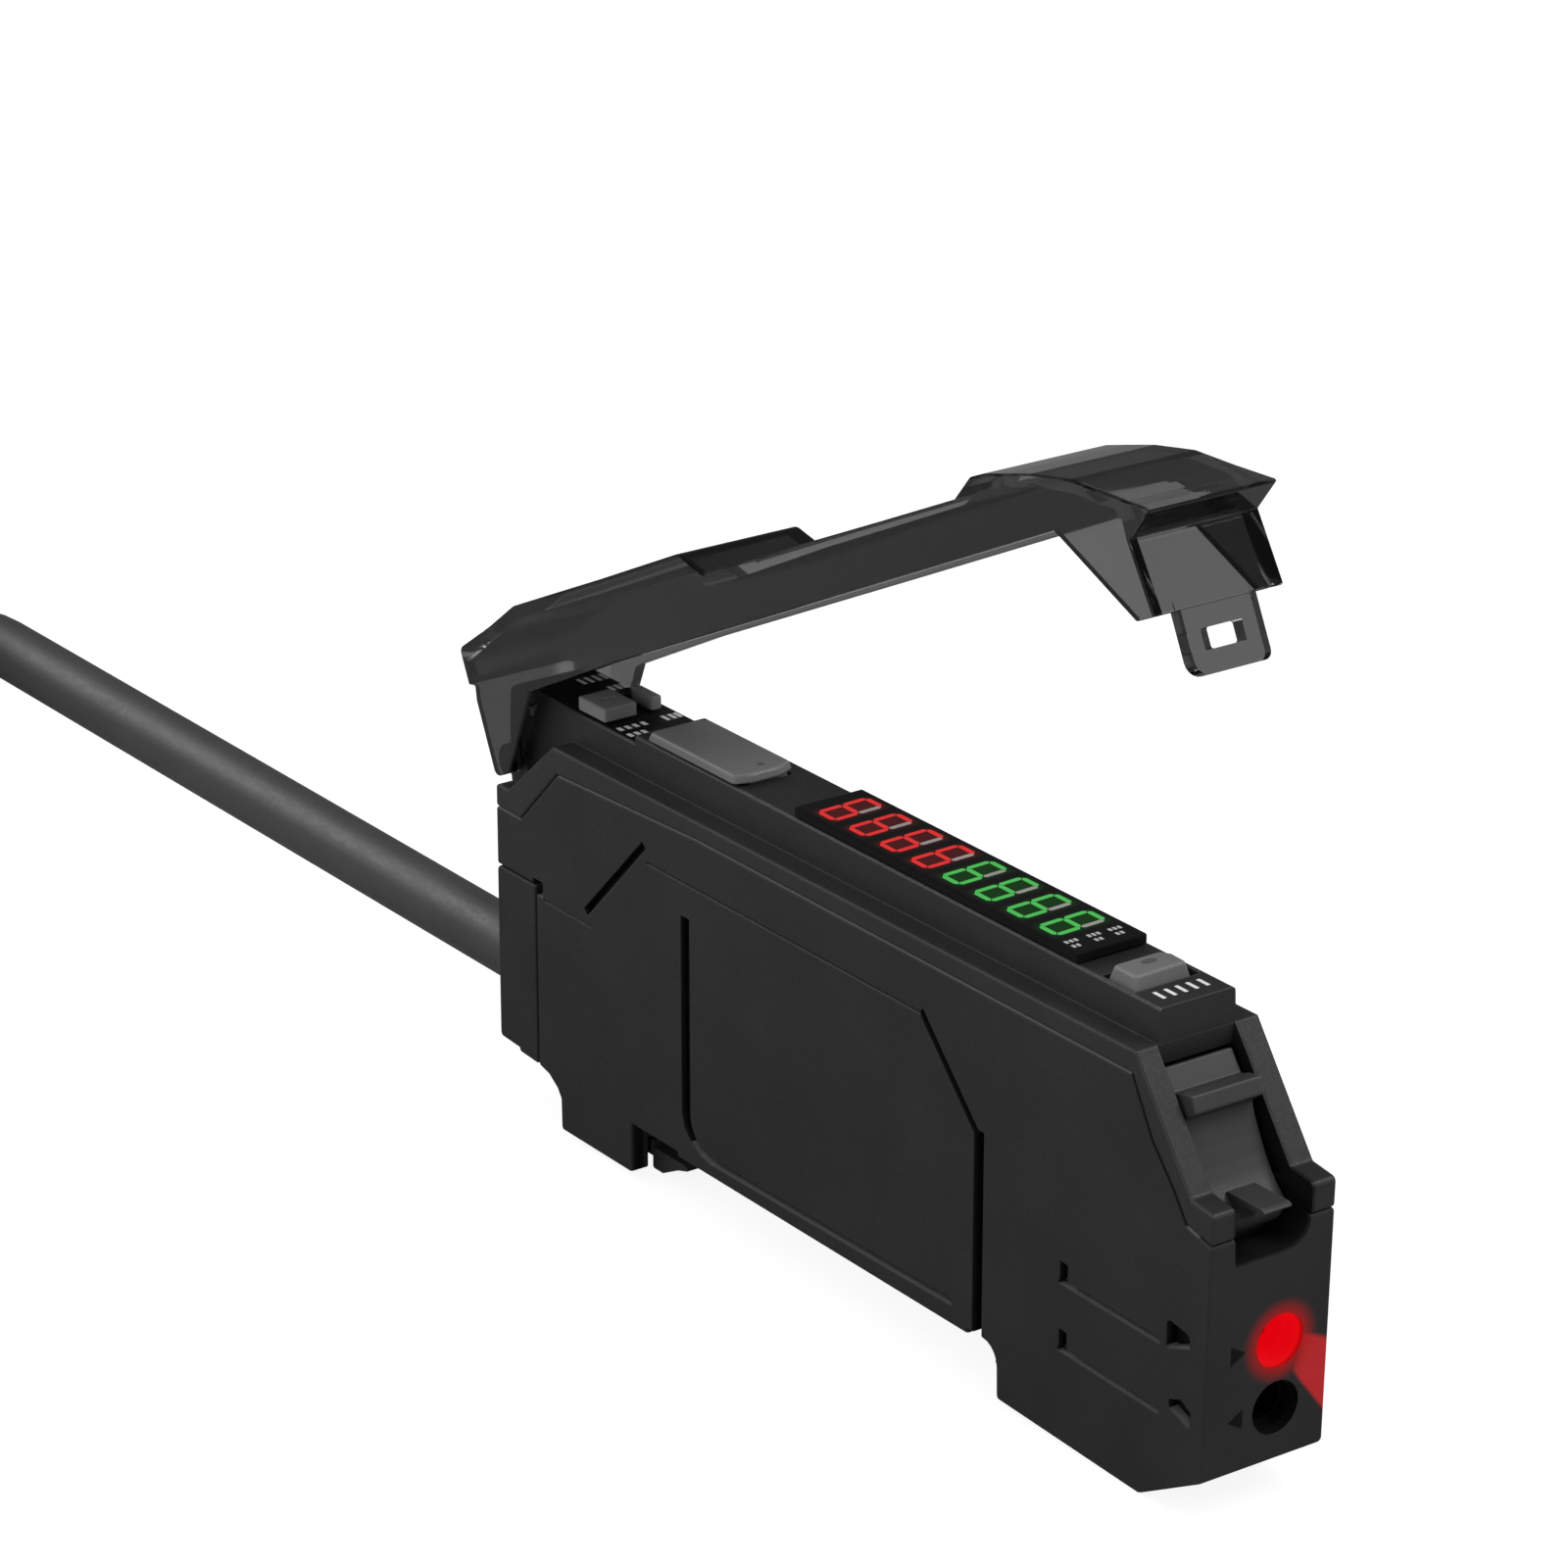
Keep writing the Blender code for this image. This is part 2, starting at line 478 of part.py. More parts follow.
rocker = key_cap("rocker_key", round_corners([
    (-18.1, -2.72, 0.3), (-9.2, -2.72, 0.35), (-8.78, -1.6, 1.5), (-8.8, 0.4, 1.5), (-9.3, 1.62, 0.35),
    (-17.6, 1.62, 0.3), (-18.1, 1.1, 0.3),
], 4), SPINE_TOP + 0.17, KEY_TOP, 0.16, 0.12)
join(rocker, box("key_body", (-17.9, -9.3), (-1.4, 1.2), (SPINE_TOP - 0.6, KEY_TOP - 0.2)))
join(rocker, box("hub", (-14.7, -12.5), (-1.4, 1.2), (22.2, SPINE_TOP)))
join(rocker, box("foot_up", (-17.2, -16.2), (-0.5, 0.5), (23.1, SPINE_TOP)))
join(rocker, box("foot_down", (-11.0, -10.0), (-0.5, 0.5), (23.1, SPINE_TOP)))
cut(rocker, rod("pin_bore", (ROCKER_X, ROCKER_Z), PIN_R + 0.1, -3, 3, "Y"))
finish(rocker, (0.07, 0.07, 0.075), 0.35, origin=(ROCKER_X, 0, ROCKER_Z))
pin = rod("rocker_pin", (ROCKER_X, ROCKER_Z), PIN_R, -2.2, 2.2, "Y", 24)
finish(pin, (0.6, 0.6, 0.6), 0.3, 1.0)

# Set key and slide knobs
set_outline = round_corners([
    (24.62, -2.24, 0.35), (27.18, -2.24, 0.3), (27.05, 1.9, 0.3), (25.3, 1.95, 0.3), (24.62, 1.5, 0.3),
], 4)
set_key = key_cap("set_key", set_outline, SPINE_TOP - 0.45, KEY_TOP - 0.05, 0.3, 0.12)
join(set_key, box("set_stem", (25.0, 26.8), (-1.8, 1.5), (22.3 + SET_TRAVEL + 0.15, SPINE_TOP)))
finish(set_key, (0.07, 0.07, 0.075), 0.35, origin=(25.9, 0, 24.0))
for name, x, y, stem in (("slide_knob_a", (-25.95, -23.08), (-2.32, 0.02), (-1.5, -0.8)),
                         ("slide_knob_b", (-25.4, -23.15), (1.12, 1.86), (1.25, 1.75))):
    knob = box(name, x, y, (DECK_TOP + 0.06, KNOB_TOP), soft=0.12)
    join(knob, box("stem", STEM_X, stem, (22.6, DECK_TOP + 0.4)))
    if name == "slide_knob_a":
        cut(knob, prism("finger_mark", round_corners([
            (-24.78, -1.72, 0.2), (-24.3, -1.72, 0.2), (-24.3, -0.56, 0.2), (-24.78, -0.56, 0.2),
        ], 4), KNOB_TOP - 0.15, KNOB_TOP + 1, "Z"))
    finish(knob, (0.06, 0.06, 0.065), 0.4, origin=(sum(x) / 2, sum(y) / 2, DECK_TOP))

# Lock lever with its cam, on a pin in the channel; the cover's tab snaps over its nub
lever_outline = round_corners([
    (29.95, 21.15, 0.12), (30.8, 19.97, 0.15), (31.57, 20.27, 0.15), (32.4, 20.4, 0.15), (32.8, 19.5, 0.2),
    (31.75, 18.75, 0.3), (32.05, 17.95, 6), (32.45, 17.12, 6), (32.95, 16.2, 6), (33.5, 15.32, 6),
    (34.1, 14.62, 4),
    (34.76, 14.0, 0.15), (34.4, 13.35, 0.3), (32.2, 13.2, 0.3), (30.3, 16.6), (29.3, 19.6, 0.3), (29.35, 20.9, 0.3),
], 4)
lever = prism("lock_lever", lever_outline, -CHANNEL_NEAR + FIT, CHANNEL_FAR - FIT, soft=0.1)
cam = round_corners([(31.9, 14.4), (31.3, 10.6, 0.4), (32.7, 10.2, 0.5), (33.4, 12.4), (33.5, 14.4)], 4)
join(lever, prism("cam", cam, -2.2, 2.1))
boss = rod("boss", (LEVER_X, LEVER_Z), LEVER_BOSS_R, -2.35, 1.9, "Y", 48)
cut(boss, prism("above_face", [
    (32.75, 16.56), (32.95, 16.2), (33.5, 15.32), (34.1, 14.62), (34.76, 14.0), (35.4, 13.5), (38.0, 14.0),
    (38.0, 19.0), (32.75, 19.0),
], -5.0, 5.0))
join(lever, boss)
nub = round_corners([
    (33.2, 14.5), (33.9, 15.12), (36.7, 15.15, 0.12), (37.1, 14.98, 0.1), (36.7, 14.78, 0.08), (35.5, 14.74), (34.2, 14.1),
], 3)
join(lever, prism("nub", nub, -1.1, 0.8, soft=0.06))
cut(lever, rod("pin_bore", (LEVER_X, LEVER_Z), LEVER_PIN_R + 0.1, -4, 4, "Y"))
finish(lever, (0.05, 0.05, 0.055), 0.4, origin=(LEVER_X, 0, LEVER_Z))
pin = rod("lever_pin", (LEVER_X, LEVER_Z), LEVER_PIN_R, -INNER - 0.45, INNER + 0.45, "Y", 24)
finish(pin, (0.6, 0.6, 0.6), 0.3, 1.0)

# Optics behind the ports
optic = box("optic_block", (24.6, 33.5), (-2.0, INNER - 0.35), (0.4, 9.2), soft=0.1)
for y, z in (PORT_T, PORT_R_AT):
    cut(optic, rod("bore", (y, z), FIBRE_R, 20.0, 36.0, "X", 32))
    cut(optic, rod("pocket", (y, z), 1.6, 20.0, 26.8, "X", 32))
finish(optic, BLACK, 0.5)
for name, at, colour in (("emitter_led", PORT_T, (0.8, 0.05, 0.04)), ("receiver_photodiode", PORT_R_AT, (0.05, 0.05, 0.06))):
    part = rod(name, at, 1.3, 23.4, 26.5, "X", 32)
    join(part, box("legs", (21.9, 23.6), (at[0] - 0.25, at[0] + 0.25), (at[1] - 0.8, at[1] + 0.8)))
    finish(part, colour, 0.2)
pad = box("fibre_clamp_pad", (30.6, 33.3), (-1.5, 2.3), (9.35, 9.95), soft=0.1)
finish(pad, BLACK, 0.8)

# Claw that grips the rail's rear edge
claw = box("din_claw", (-27.3, SLOT_REAR_X + 0.1), (-CLAW_HALF, CLAW_HALF), (CLAW_Z, CLAW_Z + CLAW_T - 0.1), soft=0.08)
tip = round_corners([
    (SLOT_REAR_X + 0.1, CLAW_Z - 0.75, 0.15), (CLAW_TIP_X - 2.9, CLAW_Z - 0.75, 0.3), (CLAW_TIP_X - 1.3, CLAW_Z + 0.05),
    (CLAW_TIP_X, CLAW_Z + 0.45, 0.12), (CLAW_TIP_X - 0.6, CLAW_Z + 0.65, 0.1), (SLOT_REAR_X - 0.4, CLAW_Z + 0.65),
    (SLOT_REAR_X - 0.4, CLAW_Z + 0.1), (SLOT_REAR_X + 0.1, CLAW_Z + 0.1),
], 3)
join(claw, prism("claw_tip", tip, -CLAW_HALF, CLAW_HALF))
cut(claw, box("pull_slot", (-26.9, -26.2), (-1.4, 1.4), (CLAW_Z - 1, CLAW_Z + 2)))
cut(claw, box("relief", (-24.5, -20.0), (-1.6, 1.6), (CLAW_Z - 1, CLAW_Z + 2)))
finish(claw, (0.12, 0.12, 0.12), 0.5, origin=(SLOT_REAR_X, 0, CLAW_Z))

# Cable: cores inside, straight run, tied hank and bare end
for_cores = []
for y, z in ((-0.75, 0.75), (0.75, 0.75), (-0.75, -0.75), (0.75, -0.75)):
    for_cores.append(rod("cable_cores", (y, CABLE_Z + z), 0.45, -24.7, -23.85, "X", 20))
cores = for_cores[0]
join(cores, *for_cores[1:])
join(cores, box("solder_strip", (-24.1, -23.8), (-1.25, 1.25), (CABLE_Z - 1.25, CABLE_Z + 1.25)))
finish(cores, (0.6, 0.3, 0.1), 0.5)


def tube(name, points, radius, colour, rough):
    """Cable along a route, closed at both ends."""
    curve = bpy.data.curves.new(name, "CURVE")
    curve.dimensions = "3D"
    curve.bevel_depth = radius * MM
    curve.bevel_resolution = 4
    curve.use_fill_caps = True
    line = curve.splines.new("POLY")
    line.points.add(len(points) - 1)
    for spot, point in zip(line.points, points):
        spot.co = (point[0] * MM, point[1] * MM, point[2] * MM, 1)
    obj = bpy.data.objects.new(name, curve)
    bpy.context.scene.collection.objects.link(obj)
    stuff = bpy.data.materials.new(name)
    stuff.use_nodes = True
    stuff.node_tree.nodes["Principled BSDF"].inputs["Base Color"].default_value = (*colour, 1)
    stuff.node_tree.nodes["Principled BSDF"].inputs["Roughness"].default_value = rough
    curve.materials.append(stuff)
    return obj


hank_low = FLOOR_Z + TIE_T + 0.1
hank_high = hank_low + (HANK_LAYERS - 1) * TURN_PITCH + 2 * CABLE_R
route = [(-25.0, 0, CABLE_Z), (-33, 0, CABLE_Z), (-43, 0, CABLE_Z), (-53, 0, CABLE_Z), (-63, 0, CABLE_Z),
         (-73, 0, CABLE_Z), (-83, 0, CABLE_Z), (-93, 0, CABLE_Z), (-101, 0, CABLE_Z)]
start, end = route[-1][0], HANK_X + HANK_RUN / 2 + 12.3
drop = CABLE_Z - (hank_low + CABLE_R)
for k in range(1, 9):
    t = k / 8
    route.append((start + (end - start) * t, 0, CABLE_Z - drop * t * t * (3 - 2 * t)))
tube("cable_tube", route, CABLE_R, BLACK, 0.6)


def hank_spot(turn, inward):
    """Place in plan, as a share of one turn from the entry and a depth inside the outer turn's line.

    The two runs are a cosine wave that is narrowest at the tie, and the folds are half circles.
    """
    half = turn % 0.5
    if half < RUN_SHARE:
        x = HANK_RUN * (0.5 - half / RUN_SHARE)
        wave = 2 * math.pi * x / HANK_RUN
        spot = Vector((x, FOLD_R - WAIST * (1 + math.cos(wave)) / 2))
        to_middle = Vector((WAIST * math.pi / HANK_RUN * math.sin(wave), -1)).normalized()
    else:
        angle = math.pi * (0.5 + (half - RUN_SHARE) / (0.5 - RUN_SHARE))
        to_middle = -Vector((math.cos(angle), math.sin(angle)))
        spot = Vector((-HANK_RUN / 2, 0)) - FOLD_R * to_middle
    side = -1 if turn % 1 >= 0.5 else 1
    return Vector((HANK_X, HANK_Y)) + side * (spot + inward * to_middle)


def hank_sweep(name, section, turns):
    """Section given as depth and height, carried round the hank through the listed shares of a turn."""
    whole = turns[-1] - turns[0] > 0.9
    bm = bmesh.new()
    rings = []
    for turn in turns:
        ring = []
        for depth, z in section:
            spot = hank_spot(turn, depth)
            ring.append(bm.verts.new((spot.x, spot.y, z)))
        rings.append(ring)
    if whole:
        rings.append(rings[0])
    else:
        bm.faces.new(rings[0])
        bm.faces.new(list(reversed(rings[-1])))
    for here, there in zip(rings, rings[1:]):
        for i in range(len(section)):
            j = (i + 1) % len(section)
            bm.faces.new((here[i], here[j], there[j], there[i]))
    return new_object(name, bm)


deep = TURN_PITCH + CABLE_R
hank = hank_sweep("cable_hank", round_corners([
    (-CABLE_R, hank_low, 2.0), (deep, hank_low, 2.0), (deep, hank_high, 2.0), (-CABLE_R, hank_high, 2.0),
], 4), [k / 84 for k in range(84)])
top_turn = hank_high - 2 * CABLE_R
cut(hank, hank_sweep("room_for_cores", [
    (TURN_PITCH - CABLE_R - 0.2, top_turn - 0.15), (deep + 1, top_turn - 0.15),
    (deep + 1, hank_high + 1), (TURN_PITCH - CABLE_R - 0.2, hank_high + 1),
], [CABLE_END + 0.01 * k for k in range(8)]))
finish(hank, BLACK, 0.6, smooth=60)

# Tie round the waist of the hank
tie_y = FOLD_R - WAIST + CABLE_R + FIT + 0.05
tie_z = (hank_high - hank_low) / 2 + 0.08
middle_z = (hank_high + hank_low) / 2


def tie_loop(more, radius):
    y, z = tie_y + more, tie_z + more
    return round_corners([
        (HANK_Y - y, middle_z - z, radius), (HANK_Y + y, middle_z - z, radius),
        (HANK_Y + y, middle_z + z, radius), (HANK_Y - y, middle_z + z, radius),
    ], 5)


tie = prism("cable_tie", tie_loop(TIE_T, 1.8), HANK_X - 1.25, HANK_X + 1.25, "X")
cut(tie, prism("tie_hole", tie_loop(0, 1.2), HANK_X - 3, HANK_X + 3, "X"))
head_y = HANK_Y - tie_y - TIE_T
join(tie, box("tie_head", (HANK_X - 2.0, HANK_X + 2.0), (head_y - 1.4, head_y + 0.2),
              (middle_z - 1.8, middle_z + 1.8), soft=0.2))
finish(tie, BLACK, 0.5)

# Stripped cores at the end of the last turn, on top of the hank
tip = hank_spot(CABLE_END, TURN_PITCH)
away = (hank_spot(CABLE_END + 0.058, TURN_PITCH) - tip).normalized().to_3d()
tip = Vector((tip.x, tip.y, hank_high - CABLE_R))
side = Vector((away.y, -away.x, 0))
up = Vector((0, 0, 1))
ends = []
filler = (0.0, 0.0, 1.55, 0.0, 0.6)
for a, b, radius, first, last in (filler, (-0.7, 0.7, 0.5, 0.2, 12.0), (0.7, 0.7, 0.5, 0.2, 12.0),
                                  (-0.7, -0.7, 0.5, 0.2, 12.0), (0.7, -0.7, 0.5, 0.2, 12.0)):
    bm = bmesh.new()
    low = tip + away * 0.3 + side * a + up * b
    rings = []
    for reach in (first, last):
        centre = low + away * reach
        ring = []
        for k in range(16):
            t = 2 * math.pi * k / 16
            ring.append(bm.verts.new(centre + side * (radius * math.cos(t)) + up * (radius * math.sin(t))))
        rings.append(ring)
    bm.faces.new(rings[0])
    bm.faces.new(list(reversed(rings[1])))
    for k in range(16):
        j = (k + 1) % 16
        bm.faces.new((rings[0][k], rings[1][k], rings[1][j], rings[0][j]))
    ends.append(new_object("cable_end_cores", bm))
cores = ends[0]
join(cores, *ends[1:])
finish(cores, (0.5, 0.3, 0.1), 0.5)
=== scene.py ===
"""Looks of the slim rail amplifier for a fibre optic sensor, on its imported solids."""
import math

import bpy
import numpy as np
from mathutils import Matrix, Vector


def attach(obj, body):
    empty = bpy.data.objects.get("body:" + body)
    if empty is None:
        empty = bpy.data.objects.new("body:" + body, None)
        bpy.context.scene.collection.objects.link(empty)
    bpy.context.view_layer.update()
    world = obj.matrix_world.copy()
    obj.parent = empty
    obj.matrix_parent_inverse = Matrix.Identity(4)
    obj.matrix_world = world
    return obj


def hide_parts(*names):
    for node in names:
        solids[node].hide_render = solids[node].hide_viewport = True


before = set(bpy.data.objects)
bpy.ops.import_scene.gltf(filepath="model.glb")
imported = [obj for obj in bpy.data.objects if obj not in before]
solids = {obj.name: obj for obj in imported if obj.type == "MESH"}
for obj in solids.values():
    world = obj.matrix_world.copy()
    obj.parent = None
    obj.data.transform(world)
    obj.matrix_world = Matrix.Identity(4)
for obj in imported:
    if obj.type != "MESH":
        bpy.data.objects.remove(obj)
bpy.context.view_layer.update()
MM = 0.001

# Camera. It stands to the front right and above, solved from the long straight edges of the case.
scene = bpy.context.scene
scene.view_settings.view_transform = "Standard"
azimuth, elevation = math.radians(54.41), math.radians(21.59)
back = Vector((
    math.sin(azimuth) * math.cos(elevation),
    -math.cos(azimuth) * math.cos(elevation),
    math.sin(elevation),
))
right = Vector((math.cos(azimuth), math.sin(azimuth), 0.0))
up = back.cross(right)
lens = bpy.data.cameras.new("camera")
lens.lens = 133.02
lens.sensor_width = 36.0
lens.clip_start = 0.01
lens.clip_end = 20.0
camera = bpy.data.objects.new("camera", lens)
scene.collection.objects.link(camera)
camera.matrix_world = Matrix((
    (right.x, up.x, back.x, 0.2457),
    (right.y, up.y, back.y, -0.18153),
    (right.z, up.z, back.z, 0.14801),
    (0, 0, 0, 1),
))
scene.camera = camera

# Cable. Four cores in a round black PVC jacket, 4.2 mm thick. It leaves the rear block straight and comes
# down to the table past the edge of the view. The rest is folded into a hank, two turns wide and five
# layers high, with a tie round its waist, and ends on top of it.
CABLE_R = 2.1
CABLE_Z = 4.25
HANK_X = -166.0
HANK_RUN = 56.0
FOLD_R = 16.8
TURN_PITCH = 4.25
WAIST = 8.0
RUN_SHARE = 0.28
CABLE_END = 8.52
LOWEST_TURN = -0.5
STRAIGHT_FROM, STRAIGHT_TO = -26.0, -103.0
DROP_FROM, DROP_TO = -103.5, HANK_X + HANK_RUN / 2 + 12.3
COLUMN_STEPS = ((0.79, 1.0, 1), (2.52, 2.67, -1), (4.12, 4.28, 1), (5.79, 6.0, -1), (7.52, 7.67, 1))
LAYER_STEPS = ((1.66, 1.78), (3.38, 3.5), (5.0, 5.12), (6.66, 6.78))


def ease(t):
    """Two equal arcs that join into an S, from 0 to 1, for t from 0 to 1."""
    t = np.clip(t, 0, 1)
    return np.where(t < 0.5, 2 * t * t, 1 - 2 * (1 - t) ** 2)


def hank_line(turn, inward):
    """Places in plan for turns counted from the hank's entry, at a depth inside the outer turn's line.

    The two runs are a cosine wave that is narrowest at the tie, and the folds are half circles.
    """
    half = turn % 0.5
    side = np.where(turn % 1.0 >= 0.5, -1.0, 1.0)
    run_x = HANK_RUN * (0.5 - half / RUN_SHARE)
    wave = 2 * np.pi * run_x / HANK_RUN
    run_y = FOLD_R - WAIST * (1 + np.cos(wave)) / 2
    slope = WAIST * np.pi / HANK_RUN * np.sin(wave)
    size = np.sqrt(1 + slope * slope)
    angle = np.pi * (0.5 + (half - RUN_SHARE) / (0.5 - RUN_SHARE))
    on_run = half < RUN_SHARE
    x = np.where(on_run, run_x + inward * slope / size, -HANK_RUN / 2 + (FOLD_R - inward) * np.cos(angle))
    y = np.where(on_run, run_y - inward / size, (FOLD_R - inward) * np.sin(angle))
    return HANK_X + side * x, -FOLD_R + side * y


def cable_line():
    """Centre line in millimetres: straight run, drop, and the hank's turns.

    In a layer the cable makes an outer and an inner turn. It changes column or climbs a layer in a short
    window, and each window lies just before the last one, so that the cable never cuts itself.
    """
    run = np.arange(STRAIGHT_FROM, STRAIGHT_TO, -4.5)
    straight = np.stack([run, 0 * run, 0 * run + CABLE_Z], 1)
    t = np.linspace(0, 1, 12)
    fall = CABLE_Z + (LOWEST_TURN - CABLE_Z) * t * t * (3 - 2 * t)
    drop = np.stack([DROP_FROM + (DROP_TO - DROP_FROM) * t, 0 * t, fall], 1)
    run = np.linspace(DROP_TO, HANK_X + HANK_RUN / 2, 5)[1:-1]
    level = np.stack([run, 0 * run, 0 * run + LOWEST_TURN], 1)
    turn = np.arange(0, CABLE_END + 0.001, 0.02)
    inward = np.zeros_like(turn)
    height = np.full_like(turn, LOWEST_TURN)
    for first, last, way in COLUMN_STEPS:
        inward += way * TURN_PITCH * ease((turn - first) / (last - first))
    for first, last in LAYER_STEPS:
        height += TURN_PITCH * ease((turn - first) / (last - first))
    x, y = hank_line(turn, inward)
    return np.concatenate([straight, drop, level, np.stack([x, y, height], 1)])


def lay(name, verts, faces, uv=None, smooth=True):
    """Mesh object at the origin, from points in millimetres."""
    mesh = bpy.data.meshes.new(name)
    mesh.from_pydata((np.asarray(verts) * MM).tolist(), [], faces)
    if uv is not None:
        mesh.uv_layers.new(name="run").data.foreach_set("uv", np.asarray(uv, float).ravel())
    mesh.polygons.foreach_set("use_smooth", [smooth] * len(mesh.polygons))
    mesh.update()
    piece = bpy.data.objects.new(name, mesh)
    scene.collection.objects.link(piece)
    return piece


def pipe(name, line, radius, sides):
    """Round tube along a line in millimetres, with closed ends and UV once round and along in millimetres.

    Each ring is a circle across the line's direction, between the level way across it and the way over it.
    """
    line = np.asarray(line, float)
    way = np.gradient(line, axis=0)
    way /= np.linalg.norm(way, axis=1, keepdims=True)
    across = np.stack([-way[:, 1], way[:, 0], 0 * way[:, 0]], 1)
    across /= np.linalg.norm(across, axis=1, keepdims=True)
    over = np.cross(way, across)
    turn = np.linspace(0, 2 * np.pi, sides, endpoint=False)
    ring = np.cos(turn)[None, :, None] * across[:, None] + np.sin(turn)[None, :, None] * over[:, None]
    verts = (line[:, None] + radius * ring).reshape(-1, 3)
    i, k = np.meshgrid(np.arange(len(line) - 1), np.arange(sides), indexing="ij")
    j = (k + 1) % sides
    here, ahead = i * sides, (i + 1) * sides
    quads = np.stack([here + k, here + j, ahead + j, ahead + k], -1).reshape(-1, 4)
    length = np.concatenate([[0], np.cumsum(np.linalg.norm(np.diff(line, axis=0), axis=1))])
    round_it = np.stack([k, k + 1, k + 1, k], -1).reshape(-1) / sides
    along = np.stack([length[i], length[i], length[i + 1], length[i + 1]], -1).reshape(-1)
    faces = [tuple(face) for face in quads.tolist()]
    faces += [tuple(range(sides - 1, -1, -1)), tuple(range(len(verts) - sides, len(verts)))]
    uv = np.concatenate([np.stack([round_it, along], 1), np.zeros((2 * sides, 2))])
    piece = lay(name, verts, faces, uv)
    piece.data.set_sharp_from_angle(angle=math.radians(50))
    return piece


def node_group(name, inputs, outputs):
    """Empty shader group with sockets of the given names and values, and its two end nodes."""
    group = bpy.data.node_groups.new(name, "ShaderNodeTree")
    for label, value in inputs:
        kind = "NodeSocketColor" if isinstance(value, tuple) else "NodeSocketFloat"
        group.interface.new_socket(name=label, in_out="INPUT", socket_type=kind).default_value = value
    for label, kind in outputs:
        group.interface.new_socket(name=label, in_out="OUTPUT", socket_type=kind)
    return group, group.nodes.new("NodeGroupInput"), group.nodes.new("NodeGroupOutput")


def add(tree, kind, links=(), **values):
    """Node of a tree with settings by name, and input values or incoming sockets by input name or number."""
    node = tree.nodes.new(kind)
    for label, value in values.items():
        setattr(node, label, value)
    for label, source in links:
        if isinstance(source, bpy.types.NodeSocket):
            tree.links.new(source, node.inputs[label])
        else:
            node.inputs[label].default_value = source
    return node


def calc(tree, operation, first, second=0.0, clamp=False):
    """Output socket of one Math node."""
    node = add(tree, "ShaderNodeMath", [(0, first), (1, second)], operation=operation, use_clamp=clamp)
    return node.outputs[0]


# Mould grain, shared by all plastics. Fine noise gives relief and sheen, and slow noise mottles the colour.
grain, start, end = node_group(
    "mould_grain",
    [("Dark", (0.02, 0.02, 0.02, 1)), ("Light", (0.03, 0.03, 0.03, 1)), ("Smooth", 0.4), ("Rough", 0.6),
     ("Scale", 5000.0)],
    [("Colour", "NodeSocketColor"), ("Roughness", "NodeSocketFloat"), ("Height", "NodeSocketFloat")])
place = add(grain, "ShaderNodeTexCoord").outputs["Object"]
fine = add(grain, "ShaderNodeTexNoise", [
    ("Vector", place), ("Scale", start.outputs["Scale"]), ("Detail", 3.0)])
cloud = add(grain, "ShaderNodeTexNoise", [("Vector", place), ("Scale", 160.0), ("Detail", 4.0)])
mottle = add(grain, "ShaderNodeMapRange", [
    ("Value", cloud.outputs["Fac"]), ("From Min", 0.3), ("From Max", 0.7)])


def blend_colour(tree, share, first, second):
    """Output socket of a colour mix."""
    node = add(tree, "ShaderNodeMix", [("Factor", share), ("A", first), ("B", second)], data_type="RGBA")
    return node.outputs["Result"]


mixed = blend_colour(grain, mottle.outputs["Result"], start.outputs["Dark"], start.outputs["Light"])
sheen = add(grain, "ShaderNodeMapRange", [
    ("Value", fine.outputs["Fac"]), ("From Min", 0.3), ("From Max", 0.7),
    ("To Min", start.outputs["Smooth"]), ("To Max", start.outputs["Rough"])])
grain.links.new(mixed, end.inputs["Colour"])
grain.links.new(sheen.outputs["Result"], end.inputs["Roughness"])
grain.links.new(fine.outputs["Fac"], end.inputs["Height"])

# Painted edge highlight, shared by the mouldings. The rounded normal differs from the flat one only along
# edges, and a paler colour is painted where it turns upward, as a highlight on top edges and on the lower
# lips of grooves.
painted_edge_highlight, start, end = node_group(
    "painted_edge_highlight",
    [("Plain", (0.05, 0.05, 0.05, 1)), ("Edge", (0.2, 0.2, 0.2, 1)), ("Width", 0.0002), ("Amount", 0.7),
     ("Forward", 1.0)],
    [("Colour", "NodeSocketColor")])
rounded = add(painted_edge_highlight, "ShaderNodeBevel", [("Radius", start.outputs["Width"])], samples=6)
flat = add(painted_edge_highlight, "ShaderNodeNewGeometry")
agree = add(painted_edge_highlight, "ShaderNodeVectorMath", [
    (0, rounded.outputs["Normal"]), (1, flat.outputs["Normal"])], operation="DOT_PRODUCT")
mask = add(painted_edge_highlight, "ShaderNodeMapRange", [
    ("Value", agree.outputs["Value"]), ("From Min", 1.0), ("From Max", 0.9)])
heading = add(painted_edge_highlight, "ShaderNodeSeparateXYZ", [(0, rounded.outputs["Normal"])])
upward = add(painted_edge_highlight, "ShaderNodeMapRange", [
    ("Value", heading.outputs["Z"]), ("From Min", 0.12), ("From Max", 0.5)])
share = calc(painted_edge_highlight, "MULTIPLY", mask.outputs["Result"], start.outputs["Amount"])
share = calc(painted_edge_highlight, "MULTIPLY", share, upward.outputs["Result"])
forward = add(painted_edge_highlight, "ShaderNodeMapRange", [
    ("Value", heading.outputs["X"]), ("From Min", 0.3), ("From Max", 0.45), ("To Min", 1.0),
    ("To Max", start.outputs["Forward"])])
share = calc(painted_edge_highlight, "MULTIPLY", share, forward.outputs["Result"])
mixed = blend_colour(painted_edge_highlight, share, start.outputs["Plain"], start.outputs["Edge"])
painted_edge_highlight.links.new(mixed, end.inputs["Colour"])


def tone(colour, gain=1.0):
    """Colour socket value from one grey or three parts."""
    parts = colour if isinstance(colour, tuple) else (colour, colour, colour * 1.01)
    return (*(gain * part for part in parts), 1)


